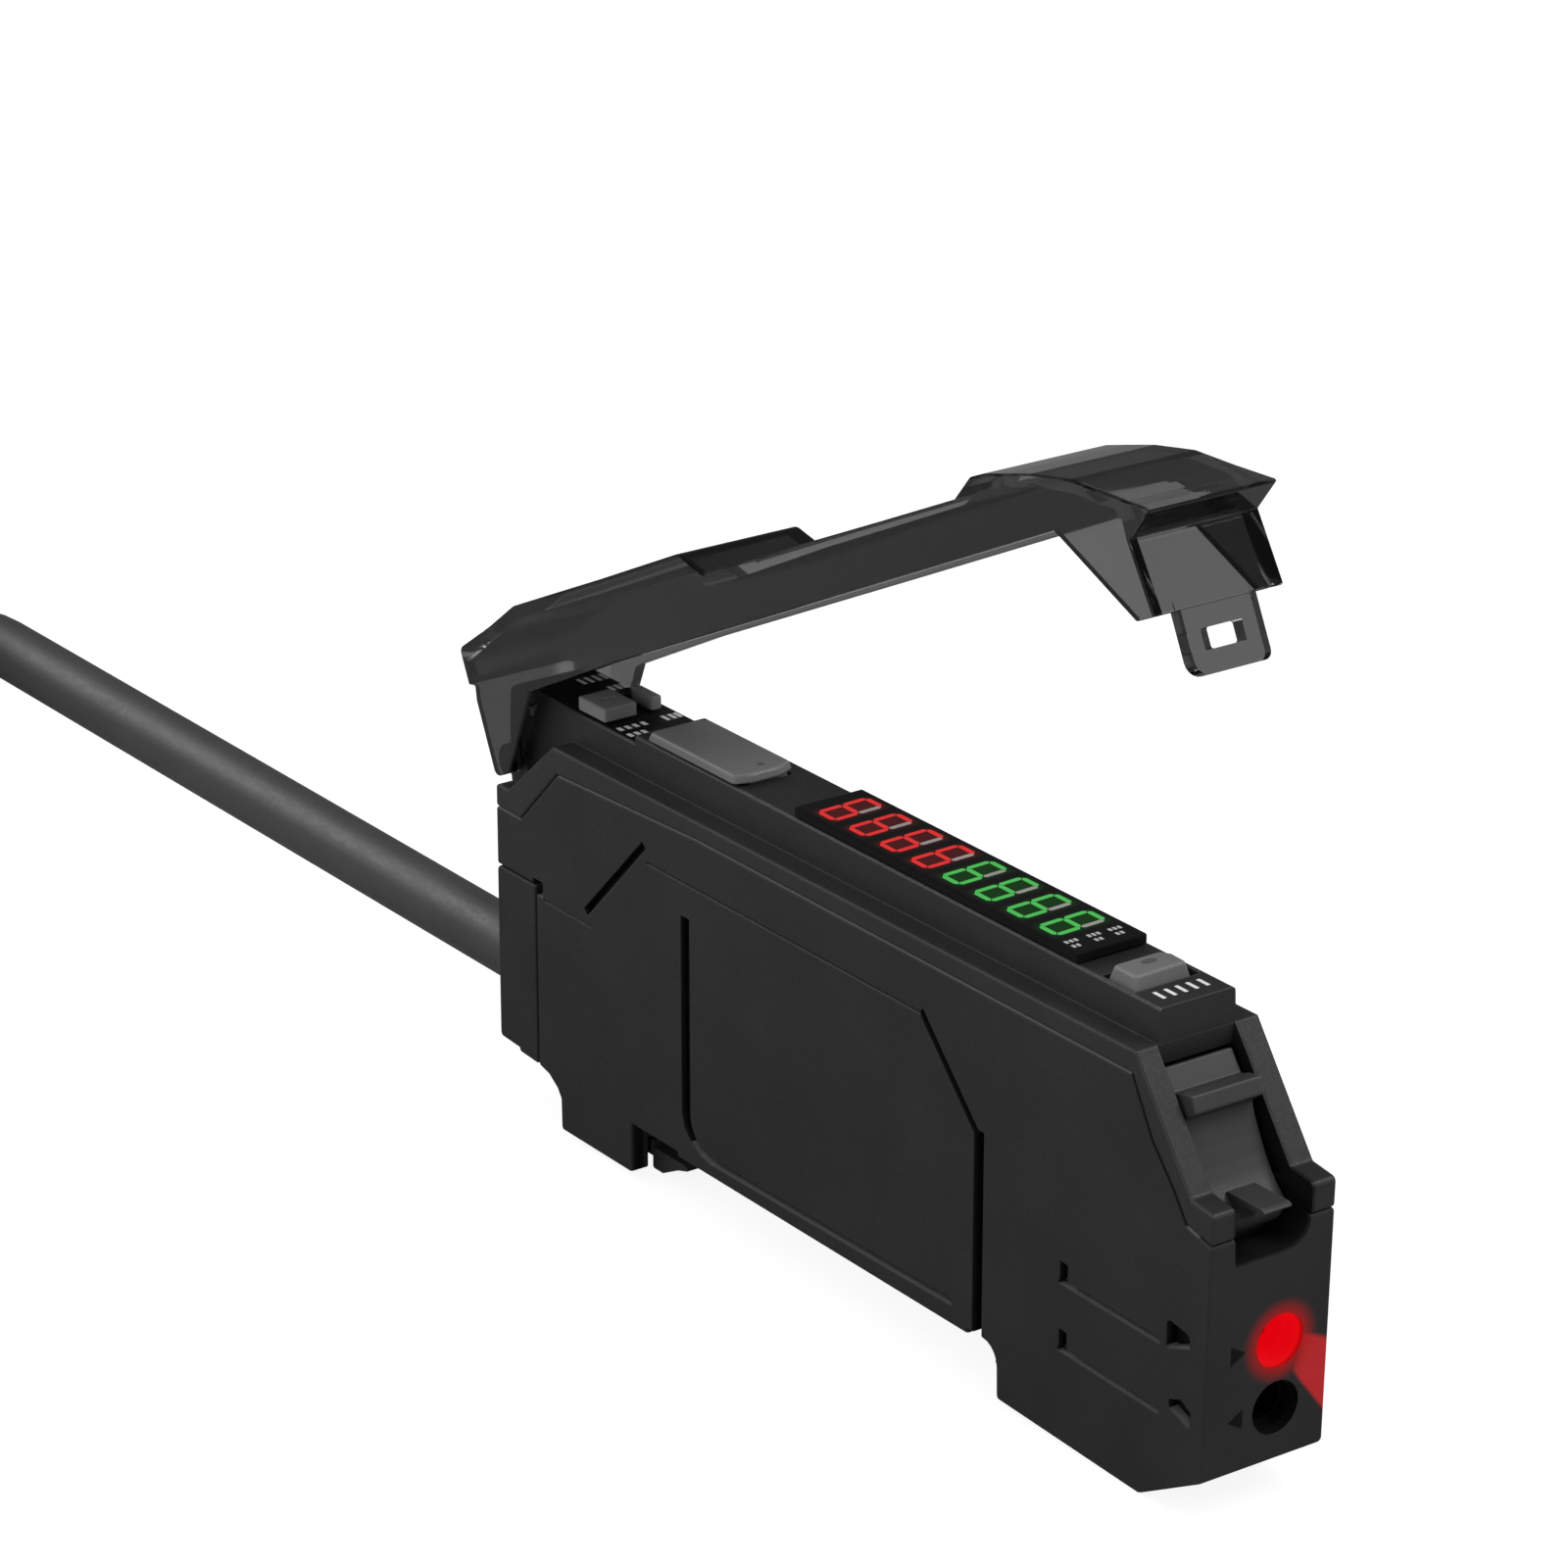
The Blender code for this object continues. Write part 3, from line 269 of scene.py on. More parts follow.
def plastic(name, colour, smooth, rough, level, scale=5000.0, relief=0.12,
            edge=None, width=0.0002, amount=0.7, forward=1.0):
    """Moulded plastic with mottled colour, grain and, where given, painted highlights on upward edges.

    Edge is the grey of the painted highlight, and edges that lean forward get the given share of it. Returns
    material and shader.
    """
    stuff = bpy.data.materials.new(name)
    stuff.use_nodes = True
    tree = stuff.node_tree
    shader = tree.nodes["Principled BSDF"]
    shader.inputs["Specular IOR Level"].default_value = level
    part = add(tree, "ShaderNodeGroup", node_tree=grain)
    for label, value in (("Dark", tone(colour, 0.88)), ("Light", tone(colour, 1.12)),
                         ("Smooth", smooth), ("Rough", rough), ("Scale", scale)):
        part.inputs[label].default_value = value
    shown = part.outputs["Colour"]
    # Painted highlight along upward edges, in the grey given as edge.
    if edge is not None:
        line = add(tree, "ShaderNodeGroup", node_tree=painted_edge_highlight)
        for label, value in (("Edge", tone(edge)), ("Width", width),
                             ("Amount", amount), ("Forward", forward)):
            line.inputs[label].default_value = value
        tree.links.new(shown, line.inputs["Plain"])
        shown = line.outputs["Colour"]
    tree.links.new(shown, shader.inputs["Base Color"])
    tree.links.new(part.outputs["Roughness"], shader.inputs["Roughness"])
    bump = add(tree, "ShaderNodeBump", [
        ("Height", part.outputs["Height"]), ("Strength", relief), ("Distance", 0.00002)])
    tree.links.new(bump.outputs["Normal"], shader.inputs["Normal"])
    return stuff, shader


def dress(stuff, *names):
    """Gives a material to solids."""
    for name in names:
        solids[name].material_slots[0].material = stuff


cable_path = cable_line()
cable = pipe("cable", cable_path, CABLE_R, 24)
jacket, shader = plastic("black_jacket", 0.03, 0.5, 0.62, 0.85, scale=3000.0, relief=0.03)
tree = jacket.node_tree
run = add(tree, "ShaderNodeUVMap", uv_map="run")
stretch = add(tree, "ShaderNodeMapping", [("Vector", run.outputs["UV"]), ("Scale", (30.0, 0.05, 1.0))])
streak = add(tree, "ShaderNodeTexNoise", [
    ("Vector", stretch.outputs["Vector"]), ("Scale", 1.0), ("Detail", 2.0)])
drawn = add(tree, "ShaderNodeBump", [
    ("Height", streak.outputs["Fac"]), ("Strength", 0.15), ("Distance", 0.00005)])
tree.links.new(drawn.outputs["Normal"], shader.inputs["Normal"])
cable.data.materials.append(jacket)
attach(cable, "case")
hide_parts("cable_tube", "cable_hank")

# Stripped end. Four cores in coloured insulation stand out of the jacket, each with a bit of tinned wire,
# and spread a little on their way.
CORE_R = 0.55
WIRE_R = 0.3
CORE_START, CORE_STOP = -0.8, 12.2
FREE_LENGTH = 12
SPREAD = 0.35
CORES = (
    ("brown", (0.11, 0.035, 0.012), -0.7, 0.7),
    ("blue", (0.01, 0.06, 0.33), 0.7, 0.7),
    ("black", (0.014, 0.014, 0.015), -0.7, -0.7),
    ("white", (0.6, 0.6, 0.58), 0.7, -0.7),
)
tip = cable_path[-1]
beyond = np.array(hank_line(np.array(CABLE_END + 0.058), TURN_PITCH))
away = np.append(beyond - tip[:2], 0.0)
away /= np.linalg.norm(away)
aside = np.array([away[1], -away[0], 0.0])
core_pieces = []
for name, colour, across, over in CORES:
    reach = np.linspace(CORE_START, CORE_STOP, 14)
    spread = SPREAD * np.clip(reach / FREE_LENGTH, 0, 1) ** 2
    line = tip + reach[:, None] * away + (across * (1 + spread))[:, None] * aside
    line[:, 2] += over - spread
    sleeve = pipe("core_" + name, line[:10], CORE_R, 14)
    wire = pipe("wire_" + name, line[8:], WIRE_R, 10)
    sleeve.data.materials.append(plastic("insulation_" + name, colour, 0.35, 0.45, 0.4, relief=0.03)[0])
    core_pieces += [sleeve, wire]
tinned, shader = plastic("tinned_copper", 0.6, 0.22, 0.38, 0.5, scale=9000.0)
shader.inputs["Metallic"].default_value = 1.0
for piece in core_pieces:
    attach(piece, "case")
    if piece.name.startswith("wire"):
        piece.data.materials.append(tinned)
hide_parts("cable_end_cores")

# Tie. A narrow black nylon strap with a ribbed back and a square head, round the waist of the hank.
tie, shader = plastic("tie_nylon", 0.022, 0.3, 0.45, 0.45, scale=4000.0, relief=0.05)
tree = tie.node_tree
place = add(tree, "ShaderNodeTexCoord").outputs["Object"]
ribs = add(tree, "ShaderNodeTexWave", [("Vector", place), ("Scale", 250.0)], bands_direction="DIAGONAL")
ribbed = add(tree, "ShaderNodeBump", [
    ("Height", ribs.outputs["Fac"]), ("Strength", 0.4), ("Distance", 0.0001)])
tree.links.new(ribbed.outputs["Normal"], shader.inputs["Normal"])
dress(tie, "cable_tie")

# Table. A plain pale top that shows white to the camera and through the cover, and keeps a soft shadow.
TABLE_Z = -3.32
SPAN = 3000.0
TABLE_GREY, TABLE_MIRRORED = (0.5, 0.5, 0.5, 1), (0.47, 0.47, 0.47, 1)
SHADOW_GREY = (0.16, 0.16, 0.16, 1)
TABLE_GLOW = 0.9
corners = [(-SPAN, -SPAN, TABLE_Z), (SPAN, -SPAN, TABLE_Z), (SPAN, SPAN, TABLE_Z), (-SPAN, SPAN, TABLE_Z)]
floor = lay("floor", corners, [(0, 1, 2, 3)], smooth=False)


def straight_view(tree):
    """1 for the camera's rays, also those that came through clear plastic and weren't mirrored in it."""
    path = add(tree, "ShaderNodeLightPath")
    seen = calc(tree, "MAXIMUM", path.outputs["Is Camera Ray"], path.outputs["Is Transmission Ray"])
    return calc(tree, "MULTIPLY", seen, calc(tree, "LESS_THAN", path.outputs["Glossy Depth"], 0.5))


table = bpy.data.materials.new("pale_table")
table.use_nodes = True
tree = table.node_tree
tree.nodes.remove(tree.nodes["Principled BSDF"])
path = add(tree, "ShaderNodeLightPath")
top_grey = blend_colour(tree, path.outputs["Is Glossy Ray"], TABLE_GREY, TABLE_MIRRORED)
plain = add(tree, "ShaderNodeBsdfDiffuse", [("Color", top_grey)])
shaded = add(tree, "ShaderNodeBsdfDiffuse", [("Color", SHADOW_GREY)])
glow = add(tree, "ShaderNodeEmission", [("Strength", TABLE_GLOW)])
shown = add(tree, "ShaderNodeAddShader", [(0, shaded.outputs[0]), (1, glow.outputs[0])])
blend = add(tree, "ShaderNodeMixShader", [
    (0, straight_view(tree)), (1, plain.outputs[0]), (2, shown.outputs[0])])
tree.links.new(blend.outputs[0], tree.nodes["Material Output"].inputs["Surface"])
floor.data.materials.append(table)

# Studio. An even grey room that is darker in mirrored views, a soft box to the front far side that lights
# the slopes, one to the rear near side that draws the edges and the cable's band, and one that lifts the
# near side.
ROOM_LEVEL, ROOM_MIRRORED = 0.62, 0.115
world = bpy.data.worlds.new("studio")
scene.world = world
world.use_nodes = True
tree = world.node_tree
room = tree.nodes["Background"]
path = add(tree, "ShaderNodeLightPath")
level = add(tree, "ShaderNodeMapRange", [
    ("Value", path.outputs["Glossy Depth"]), ("To Min", ROOM_LEVEL), ("To Max", ROOM_MIRRORED)])
tree.links.new(level.outputs["Result"], room.inputs["Strength"])
room.inputs["Color"].default_value = (1, 1, 1, 1)
white = add(tree, "ShaderNodeBackground", [("Color", (1, 1, 1, 1))])
blend = add(tree, "ShaderNodeMixShader", [
    (0, straight_view(tree)), (1, room.outputs[0]), (2, white.outputs[0])])
tree.links.new(blend.outputs[0], tree.nodes["World Output"].inputs["Surface"])


def soft_box(name, toward, distance, width, height, power):
    """Soft rectangular light in the given direction from the case, turned to it."""
    data = bpy.data.lights.new(name, "AREA")
    data.shape = "RECTANGLE"
    data.size, data.size_y = width, height
    data.energy = power
    place = Vector(toward).normalized()
    light = bpy.data.objects.new(name, data)
    scene.collection.objects.link(light)
    turned = place.to_track_quat("Z", "Y").to_matrix().to_4x4()
    light.matrix_world = Matrix.Translation(place * distance) @ turned


soft_box("slope_light", (0.485, 0.437, 0.757), 0.9, 0.4, 0.4, 3.8)
soft_box("edge_light", (-0.756, -0.36, 0.6), 0.9, 0.5, 0.45, 3.2)
soft_box("near_light", (0.1, -1.0, 0.45), 1.1, 0.7, 0.5, 2.0)

# Tub of the case. Black glass filled plastic with the mould's even grain. The ports, grooves and channel get
# painted shade, darker with depth, and the up-facing lower lips of the grooves a painted highlight. A
# painted red glow fills the transmit port's mouth, spreads a halo round it over a face painted darker there,
# and falls across the face to the far lower side. Sizes here are in metres, as a material sees them.
PORT_Y, PORT_Z, PORT_R = 0.00085, 0.0067, 0.0016
DARK_PORT_Y, DARK_PORT_Z = 0.00075, 0.0027
FACE_X = 0.03616
FACE_LEAN = 0.0249
HALF_WIDTH = 0.00425
SKIN, FACE_SKIN, BORE_SKIN = 0.00005, 0.00003, 0.00004
CHANNEL_HALF = 0.0028
CHANNEL_FLOOR = 0.0118
FACE_SHADE = 0.0004
GROOVE_DEPTH = 0.00085
GROOVE_FRONT_X = FACE_X - 0.0008
HALO = 0.0011
BEAM_TOP, BEAM_TOP_SLOPE = 0.0083, 0.52
BEAM_FOOT, BEAM_FOOT_SLOPE = 0.0067, 1.28
PAINTED_SHADE_BLACK = (0.0015, 0.0015, 0.0015, 1)
GROOVE_SHADE_SHALLOW, GROOVE_SHADE_DEEP, PAINTED_LIP_HIGHLIGHT = (0.014, 0.014, 0.014, 1), (0.002, 0.002, 0.002, 1), (0.12, 0.12, 0.12, 1)
case_black, shader = plastic("case_black", 0.0195, 0.5, 0.64, 0.3, edge=0.085, width=0.00016, amount=0.8,
                             forward=0.0)
tree = case_black.node_tree


def places(tree):
    """X, Y and Z output sockets of the object's own coordinates."""
    own = add(tree, "ShaderNodeTexCoord").outputs["Object"]
    return add(tree, "ShaderNodeSeparateXYZ", [(0, own)]).outputs


def smooth_range(tree, value, low, high, low_out=0.0, high_out=1.0):
    """Smooth step between two values."""
    node = add(tree, "ShaderNodeMapRange", [
        ("Value", value), ("From Min", low), ("From Max", high), ("To Min", low_out), ("To Max", high_out)],
        interpolation_type="SMOOTHSTEP")
    return node.outputs["Result"]


def product(tree, *factors):
    """Product of sockets."""
    result = factors[0]
    for factor in factors[1:]:
        result = calc(tree, "MULTIPLY", result, factor)
    return result


def scaled(tree, value, gain, shift):
    """Value times gain, plus shift."""
    return calc(tree, "ADD", calc(tree, "MULTIPLY", value, gain), shift)


def from_point(tree, y, z, at_y, at_z):
    """Distance in the Y and Z plane."""
    off_y = calc(tree, "SUBTRACT", y, at_y)
    off_z = calc(tree, "SUBTRACT", z, at_z)
    square = calc(tree, "ADD", product(tree, off_y, off_y), product(tree, off_z, off_z))
    return calc(tree, "SQRT", square)


x, y, z = places(tree)
# Painted red glow of the plastic: in the transmit port's bore, as a halo round it and as a beam across the
# face.
away_from = from_point(tree, y, z, PORT_Y, PORT_Z)
proud = calc(tree, "SUBTRACT", x, calc(tree, "MULTIPLY", z, FACE_LEAN))
on_face = calc(tree, "GREATER_THAN", proud, FACE_X - SKIN)
behind = calc(tree, "LESS_THAN", proud, FACE_X - FACE_SKIN)
in_bore = product(tree, behind, calc(tree, "LESS_THAN", away_from, PORT_R + BORE_SKIN))
fill = product(tree, in_bore, smooth_range(tree, proud, FACE_X - FACE_SHADE, FACE_X, 1.0, 0.4))
halo = smooth_range(tree, away_from, PORT_R - 0.0003, PORT_R + HALO, 0.4, 0.0)
upper = calc(tree, "SUBTRACT", BEAM_TOP, scaled(tree, y, BEAM_TOP_SLOPE, z))
lower = calc(tree, "SUBTRACT", scaled(tree, y, BEAM_FOOT_SLOPE, z), BEAM_FOOT)
beam = product(tree, smooth_range(tree, upper, 0.0, 0.0005), smooth_range(tree, lower, 0.0, 0.0005),
               smooth_range(tree, y, PORT_Y + 0.0004, PORT_Y + 0.0018, 0.0, 0.5))
on_surface = product(tree, on_face, calc(tree, "MAXIMUM", halo, beam))
painted_glow = calc(tree, "ADD", fill, on_surface, clamp=True)
shader.inputs["Emission Color"].default_value = (0.74, 0.0008, 0.004, 1)
tree.links.new(painted_glow, shader.inputs["Emission Strength"])

# Painted shade in the side grooves, darker towards their floor, and a painted highlight on their up-facing
# lower lips.
aside_y = calc(tree, "ABSOLUTE", y)
in_groove = product(tree, calc(tree, "LESS_THAN", aside_y, HALF_WIDTH - SKIN),
                    calc(tree, "GREATER_THAN", aside_y, HALF_WIDTH - GROOVE_DEPTH),
                    calc(tree, "LESS_THAN", x, GROOVE_FRONT_X))
depth = smooth_range(tree, aside_y, HALF_WIDTH - 0.0005, HALF_WIDTH, 1.0, 0.0)
facing = add(tree, "ShaderNodeSeparateXYZ", [(0, add(tree, "ShaderNodeNewGeometry").outputs["True Normal"])])
lit = calc(tree, "GREATER_THAN", facing.outputs["Z"], 0.8)
groove_shade_and_highlight = blend_colour(tree, lit, blend_colour(tree, depth, GROOVE_SHADE_SHALLOW, GROOVE_SHADE_DEEP), PAINTED_LIP_HIGHLIGHT)
moulded = shader.inputs["Base Color"].links[0].from_socket
with_groove_shade = blend_colour(tree, in_groove, moulded, groove_shade_and_highlight)
# Painted shade: black in both port bores, darker round the transmit port under its glow, and in the
# channel's mouth.
away_from = from_point(tree, y, z, DARK_PORT_Y, DARK_PORT_Z)
bore_shade = product(tree, behind, calc(tree, "LESS_THAN", away_from, PORT_R + BORE_SKIN),
                    calc(tree, "LESS_THAN", aside_y, HALF_WIDTH - 0.001))
red_bore = calc(tree, "ADD", in_bore, product(tree, on_face, halo, 2.0), clamp=True)
channel = product(
    tree, calc(tree, "LESS_THAN", aside_y, CHANNEL_HALF), calc(tree, "GREATER_THAN", z, CHANNEL_FLOOR),
    smooth_range(tree, proud, FACE_X - FACE_SHADE, FACE_X - 0.0001, 1.0, 0.0))
bores = calc(tree, "MAXIMUM", bore_shade, red_bore)
painted_hollow_shade = calc(tree, "MAXIMUM", bores, calc(tree, "MULTIPLY", channel, 0.75))
tree.links.new(blend_colour(tree, painted_hollow_shade, with_groove_shade, PAINTED_SHADE_BLACK), shader.inputs["Base Color"])
dress(case_black, "main_case")

# Emitter behind the transmit port. Clear red lens, lit.
lens_red, shader = plastic("lens_red", (0.6, 0.01, 0.01), 0.08, 0.15, 0.5)
shader.inputs["Emission Color"].default_value = (0.9, 0.003, 0.01, 1)
shader.inputs["Emission Strength"].default_value = 1.0
dress(lens_red, "emitter_led")

# Top frame and rear block. The same plastic as the tub, from moulds with a slightly finer grain. The deck
# under the slide knobs is near black, and the channel round the lever has painted shade, darker low down.
DECK_TOP = 24.05
DECK_FRONT_X = -19.45
DECK_BLACK = (0.003, 0.003, 0.003, 1)
CHANNEL_REAR_X = 28.2
CHANNEL_DARK_Z, CHANNEL_PALE_Z = 20.5, 23.5
frame_black, shader = plastic("frame_black", 0.019, 0.42, 0.56, 0.36, edge=0.085, width=0.00016, amount=0.8)
tree = frame_black.node_tree
x, y, z = places(tree)
on_deck = product(tree, calc(tree, "LESS_THAN", x, DECK_FRONT_X * MM),
                  calc(tree, "GREATER_THAN", z, (DECK_TOP - 0.02) * MM))
# Painted shade in the lever channel, darker low down.
channel = product(tree, calc(tree, "LESS_THAN", calc(tree, "ABSOLUTE", y), CHANNEL_HALF),
                  calc(tree, "GREATER_THAN", x, CHANNEL_REAR_X * MM),
                  smooth_range(tree, z, CHANNEL_DARK_Z * MM, CHANNEL_PALE_Z * MM, 1.0, 0.0))
dark = calc(tree, "MAXIMUM", on_deck, calc(tree, "MULTIPLY", channel, 0.9))
moulded = shader.inputs["Base Color"].links[0].from_socket
tree.links.new(blend_colour(tree, dark, moulded, DECK_BLACK), shader.inputs["Base Color"])
dress(frame_black, "top_frame")
rear_black = plastic("rear_black", 0.018, 0.48, 0.62, 0.3, edge=0.085, width=0.00016, amount=0.8)[0]
dress(rear_black, "rear_cable_block")

# Smoked cover. One clear moulding of tinted polycarbonate with polished faces and faint flow waves. The near
# arm is tinted darker as painted shade. The edge of the top slab is tinted darker too, where one looks along
# it.
# Sizes in metres.
ROOF = 0.04008
ROOF_SLOPE = 0.213
ROOF_REAR = 0.04304
OPEN_SINE, OPEN_COSINE = 0.438, 0.899
SLAB_FROM, SLAB_TO = 0.00075, 0.0009
ARM_SLOPE = 0.5
ARM_LEVEL = 0.0413
ARM_FROM_X, ARM_TO_X = -0.0262, -0.0250
THIN_SMOKE, THICK_SMOKE = (0.118, 0.118, 0.12, 1), (0.098, 0.098, 0.1, 1)
NEAR_ARM_SHADE, EDGE_SMOKE = (0.04, 0.04, 0.041, 1), (0.014, 0.014, 0.014, 1)
smoke = bpy.data.materials.new("smoked_cover")
smoke.use_nodes = True
tree = smoke.node_tree
shader = tree.nodes["Principled BSDF"]
shader.inputs["IOR"].default_value = 1.46
shader.inputs["Transmission Weight"].default_value = 1.0
place = add(tree, "ShaderNodeTexCoord").outputs["Object"]
flow = add(tree, "ShaderNodeTexNoise", [("Vector", place), ("Scale", 90.0), ("Detail", 1.0)])
tint = blend_colour(tree, flow.outputs["Fac"], THICK_SMOKE, THIN_SMOKE)
x, y, z = places(tree)
# Painted shade: the near arm is tinted darker.
under = calc(tree, "SUBTRACT", scaled(tree, x, ARM_SLOPE, ARM_LEVEL), z)
near_arm_shade_mask = product(tree, smooth_range(tree, under, -0.0002, 0.0004),
               smooth_range(tree, x, ARM_FROM_X, ARM_TO_X, 1.0, 0.0), calc(tree, "LESS_THAN", y, 0.0))
top_way = add(tree, "ShaderNodeVectorMath", [
    (0, add(tree, "ShaderNodeTexCoord").outputs["Normal"]), (1, (-OPEN_SINE, 0.0, OPEN_COSINE))],
    operation="DOT_PRODUCT")
level_part = calc(tree, "ABSOLUTE", top_way.outputs["Value"])
height = scaled(tree, x, -OPEN_SINE, calc(tree, "MULTIPLY", z, OPEN_COSINE))
along = scaled(tree, x, OPEN_COSINE, calc(tree, "MULTIPLY", z, OPEN_SINE))
roof = calc(tree, "MINIMUM", ROOF, scaled(tree, along, ROOF_SLOPE, ROOF_REAR))
slab = smooth_range(tree, calc(tree, "SUBTRACT", roof, height), SLAB_FROM, SLAB_TO, 1.0, 0.0)
slab = product(tree, slab, calc(tree, "LESS_THAN", level_part, 0.3))
smoked = blend_colour(tree, slab, blend_colour(tree, near_arm_shade_mask, tint, NEAR_ARM_SHADE), EDGE_SMOKE)
tree.links.new(smoked, shader.inputs["Base Color"])
polish = add(tree, "ShaderNodeMapRange", [
    ("Value", flow.outputs["Fac"]), ("To Min", 0.03), ("To Max", 0.07)])
tree.links.new(polish.outputs["Result"], shader.inputs["Roughness"])
dress(smoke, "cover")

# Display window. A raised bar of black acrylic. The lit digits' light is painted as a glow in the plastic
# round them.
DIGITS = 8
DIGIT_PITCH = 2.913
DIGIT_X = -1.87
DIGIT_W = 1.5
DIGIT_LOW, DIGIT_HIGH = -1.9, 1.5
WINDOW_TOP = 25.25
RED_GLOW, GREEN_GLOW = (0.055, 0.003, 0.003, 1), (0.001, 0.03, 0.001, 1)
window_black, shader = plastic("window_black", 0.006, 0.2, 0.3, 0.06, relief=0.02,
                               edge=0.03, width=0.0001, amount=0.5)
tree = window_black.node_tree
x, y, z = places(tree)
first_x = (DIGIT_X + DIGIT_W / 2 - DIGIT_PITCH / 2) * MM
step = calc(tree, "DIVIDE", calc(tree, "SUBTRACT", x, first_x), DIGIT_PITCH * MM)
from_middle = calc(tree, "ABSOLUTE", calc(tree, "SUBTRACT", calc(tree, "FRACT", step), 0.5))
wide = smooth_range(tree, from_middle, 0.2, 0.45, 1.0, 0.0)
middle_y = (DIGIT_LOW + DIGIT_HIGH) / 2 * MM
from_line = calc(tree, "ABSOLUTE", calc(tree, "SUBTRACT", y, middle_y))
tall = smooth_range(tree, from_line, 0.00155, 0.0023, 1.0, 0.0)
# Painted glow of the digits' light in the window plastic round them.
digit_glow = product(tree, wide, tall, calc(tree, "GREATER_THAN", step, 0.0),
                 calc(tree, "LESS_THAN", step, float(DIGITS)),
                 calc(tree, "GREATER_THAN", z, (WINDOW_TOP - 0.05) * MM))
second_half = calc(tree, "GREATER_THAN", step, DIGITS / 2)
light = blend_colour(tree, second_half, RED_GLOW, GREEN_GLOW)
tree.links.new(light, shader.inputs["Emission Color"])
tree.links.new(digit_glow, shader.inputs["Emission Strength"])
dress(window_black, "display_window")

# Digits. Eight seven-segment sixes behind the window, red on the left and green on the right. The one bar
# that stays dark in a six shows as a pale grey strip.
STROKE = 0.33
LEAN = -0.12
SUNK = 0.01
LIT_PROUD, MARK_PROUD = 0.015, 0.012


def slabs(name, outlines, low, high, facing="Z"):
    """Thin flat pieces between two levels along Z or X, one for each outline turned left."""
    verts, faces = [], []
    for outline in outlines:
        flat = np.asarray(outline, float)
        count, first = len(flat), len(verts)
        for level in (low, high):
            third = np.full((count, 1), level)
            verts += (np.hstack([flat, third]) if facing == "Z" else np.hstack([third, flat])).tolist()
        faces.append(tuple(range(first + count - 1, first - 1, -1)))
        faces.append(tuple(range(first + count, first + 2 * count)))
        faces += [(first + i, first + (i + 1) % count, first + count + (i + 1) % count, first + count + i)
                  for i in range(count)]
    return lay(name, verts, faces, smooth=False)


def bar(start, end, width, gap=0.04):
    """Six-cornered bar with pointed ends between two places."""
    start, end = np.array(start, float), np.array(end, float)
    way = (end - start) / np.linalg.norm(end - start)
    side = np.array([way[1], -way[0]]) * width / 2
    start, end, point = start + way * gap, end - way * gap, way * width / 2
    return [start, start + point + side, end - point + side, end, end - point - side, start + point - side]


def digit_bars(index):
    """The six lit bars of a six, and its dark one."""
    left = DIGIT_X + DIGIT_PITCH * index
    middle = (DIGIT_LOW + DIGIT_HIGH) / 2
    spots = {}
    for row, y in (("low", DIGIT_LOW), ("middle", middle), ("high", DIGIT_HIGH)):
        lean = LEAN * (y - DIGIT_LOW) / (DIGIT_HIGH - DIGIT_LOW)
        spots[row] = ((left + lean, y), (left + DIGIT_W + lean, y))
    lit = [bar(*spots[row], STROKE) for row in ("low", "middle", "high")]
    for low, high, column in (("low", "middle", 0), ("middle", "high", 0), ("low", "middle", 1)):
        lit.append(bar(spots[low][column], spots[high][column], STROKE))
    return lit, bar(spots["middle"][1], spots["high"][1], STROKE)


def glowing(name, colour):
    """Translucent lit plastic of the segments."""
    stuff, shader = plastic(name, tuple(0.2 * part for part in colour), 0.3, 0.4, 0.1)
    shader.inputs["Emission Color"].default_value = (*colour, 1)
    shader.inputs["Emission Strength"].default_value = 0.85
    return stuff


red_lit = glowing("segments_red", (0.68, 0.028, 0.028))
green_lit = glowing("segments_green", (0.07, 0.45, 0.09))
for name, first, stuff in (("digits_red", 0, red_lit), ("digits_green", DIGITS // 2, green_lit)):
    bars = [one for index in range(first, first + DIGITS // 2) for one in digit_bars(index)[0]]
    digits = slabs(name, bars, WINDOW_TOP - SUNK, WINDOW_TOP + LIT_PROUD)
    digits.data.materials.append(stuff)
    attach(digits, "case")
dark_bars = slabs("digits_dark_bars", [digit_bars(index)[1] for index in range(DIGITS)],
                  WINDOW_TOP - SUNK, WINDOW_TOP + MARK_PROUD)
dark_bars.data.materials.append(plastic("segment_grey", (0.3, 0.285, 0.275), 0.35, 0.45, 0.3)[0])
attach(dark_bars, "case")

# Marks in white and grey ink. Rows of short dashes by the window's end, before the set key, and at both ends
# of the two slide knobs' travel.
SPINE_TOP = 24.55
SET_ROW = (28.35, 0.95, 0.24, (-1.5, -0.75, 0.0, 0.75, 1.5))
DECK_ROWS = (
    (-29.95, 1.0, 0.26, (0.6, 1.15, 1.7, 2.2)),
    (-27.95, 0.8, 0.26, (1.45, 1.9, 2.3)),
    (-21.9, 0.55, 0.3, (-2.0, -1.45, -0.9, -0.3)),
    (-20.75, 0.55, 0.3, (-2.05, -1.55, -1.05)),
    (-21.9, 0.8, 0.26, (1.25, 1.75, 2.15)),
)
white_ink = plastic("white_ink", 0.62, 0.5, 0.65, 0.2, scale=9000.0, relief=0.05)[0]
grey_ink = plastic("grey_ink", 0.4, 0.5, 0.65, 0.2, scale=9000.0, relief=0.05)[0]


def dashes(x, length, width, spots):
    """Rectangles side by side across the case, at one place along it."""
    rear, front, half = x - length / 2, x + length / 2, width / 2
    return [[(rear, y - half), (front, y - half), (front, y + half), (rear, y + half)] for y in spots]


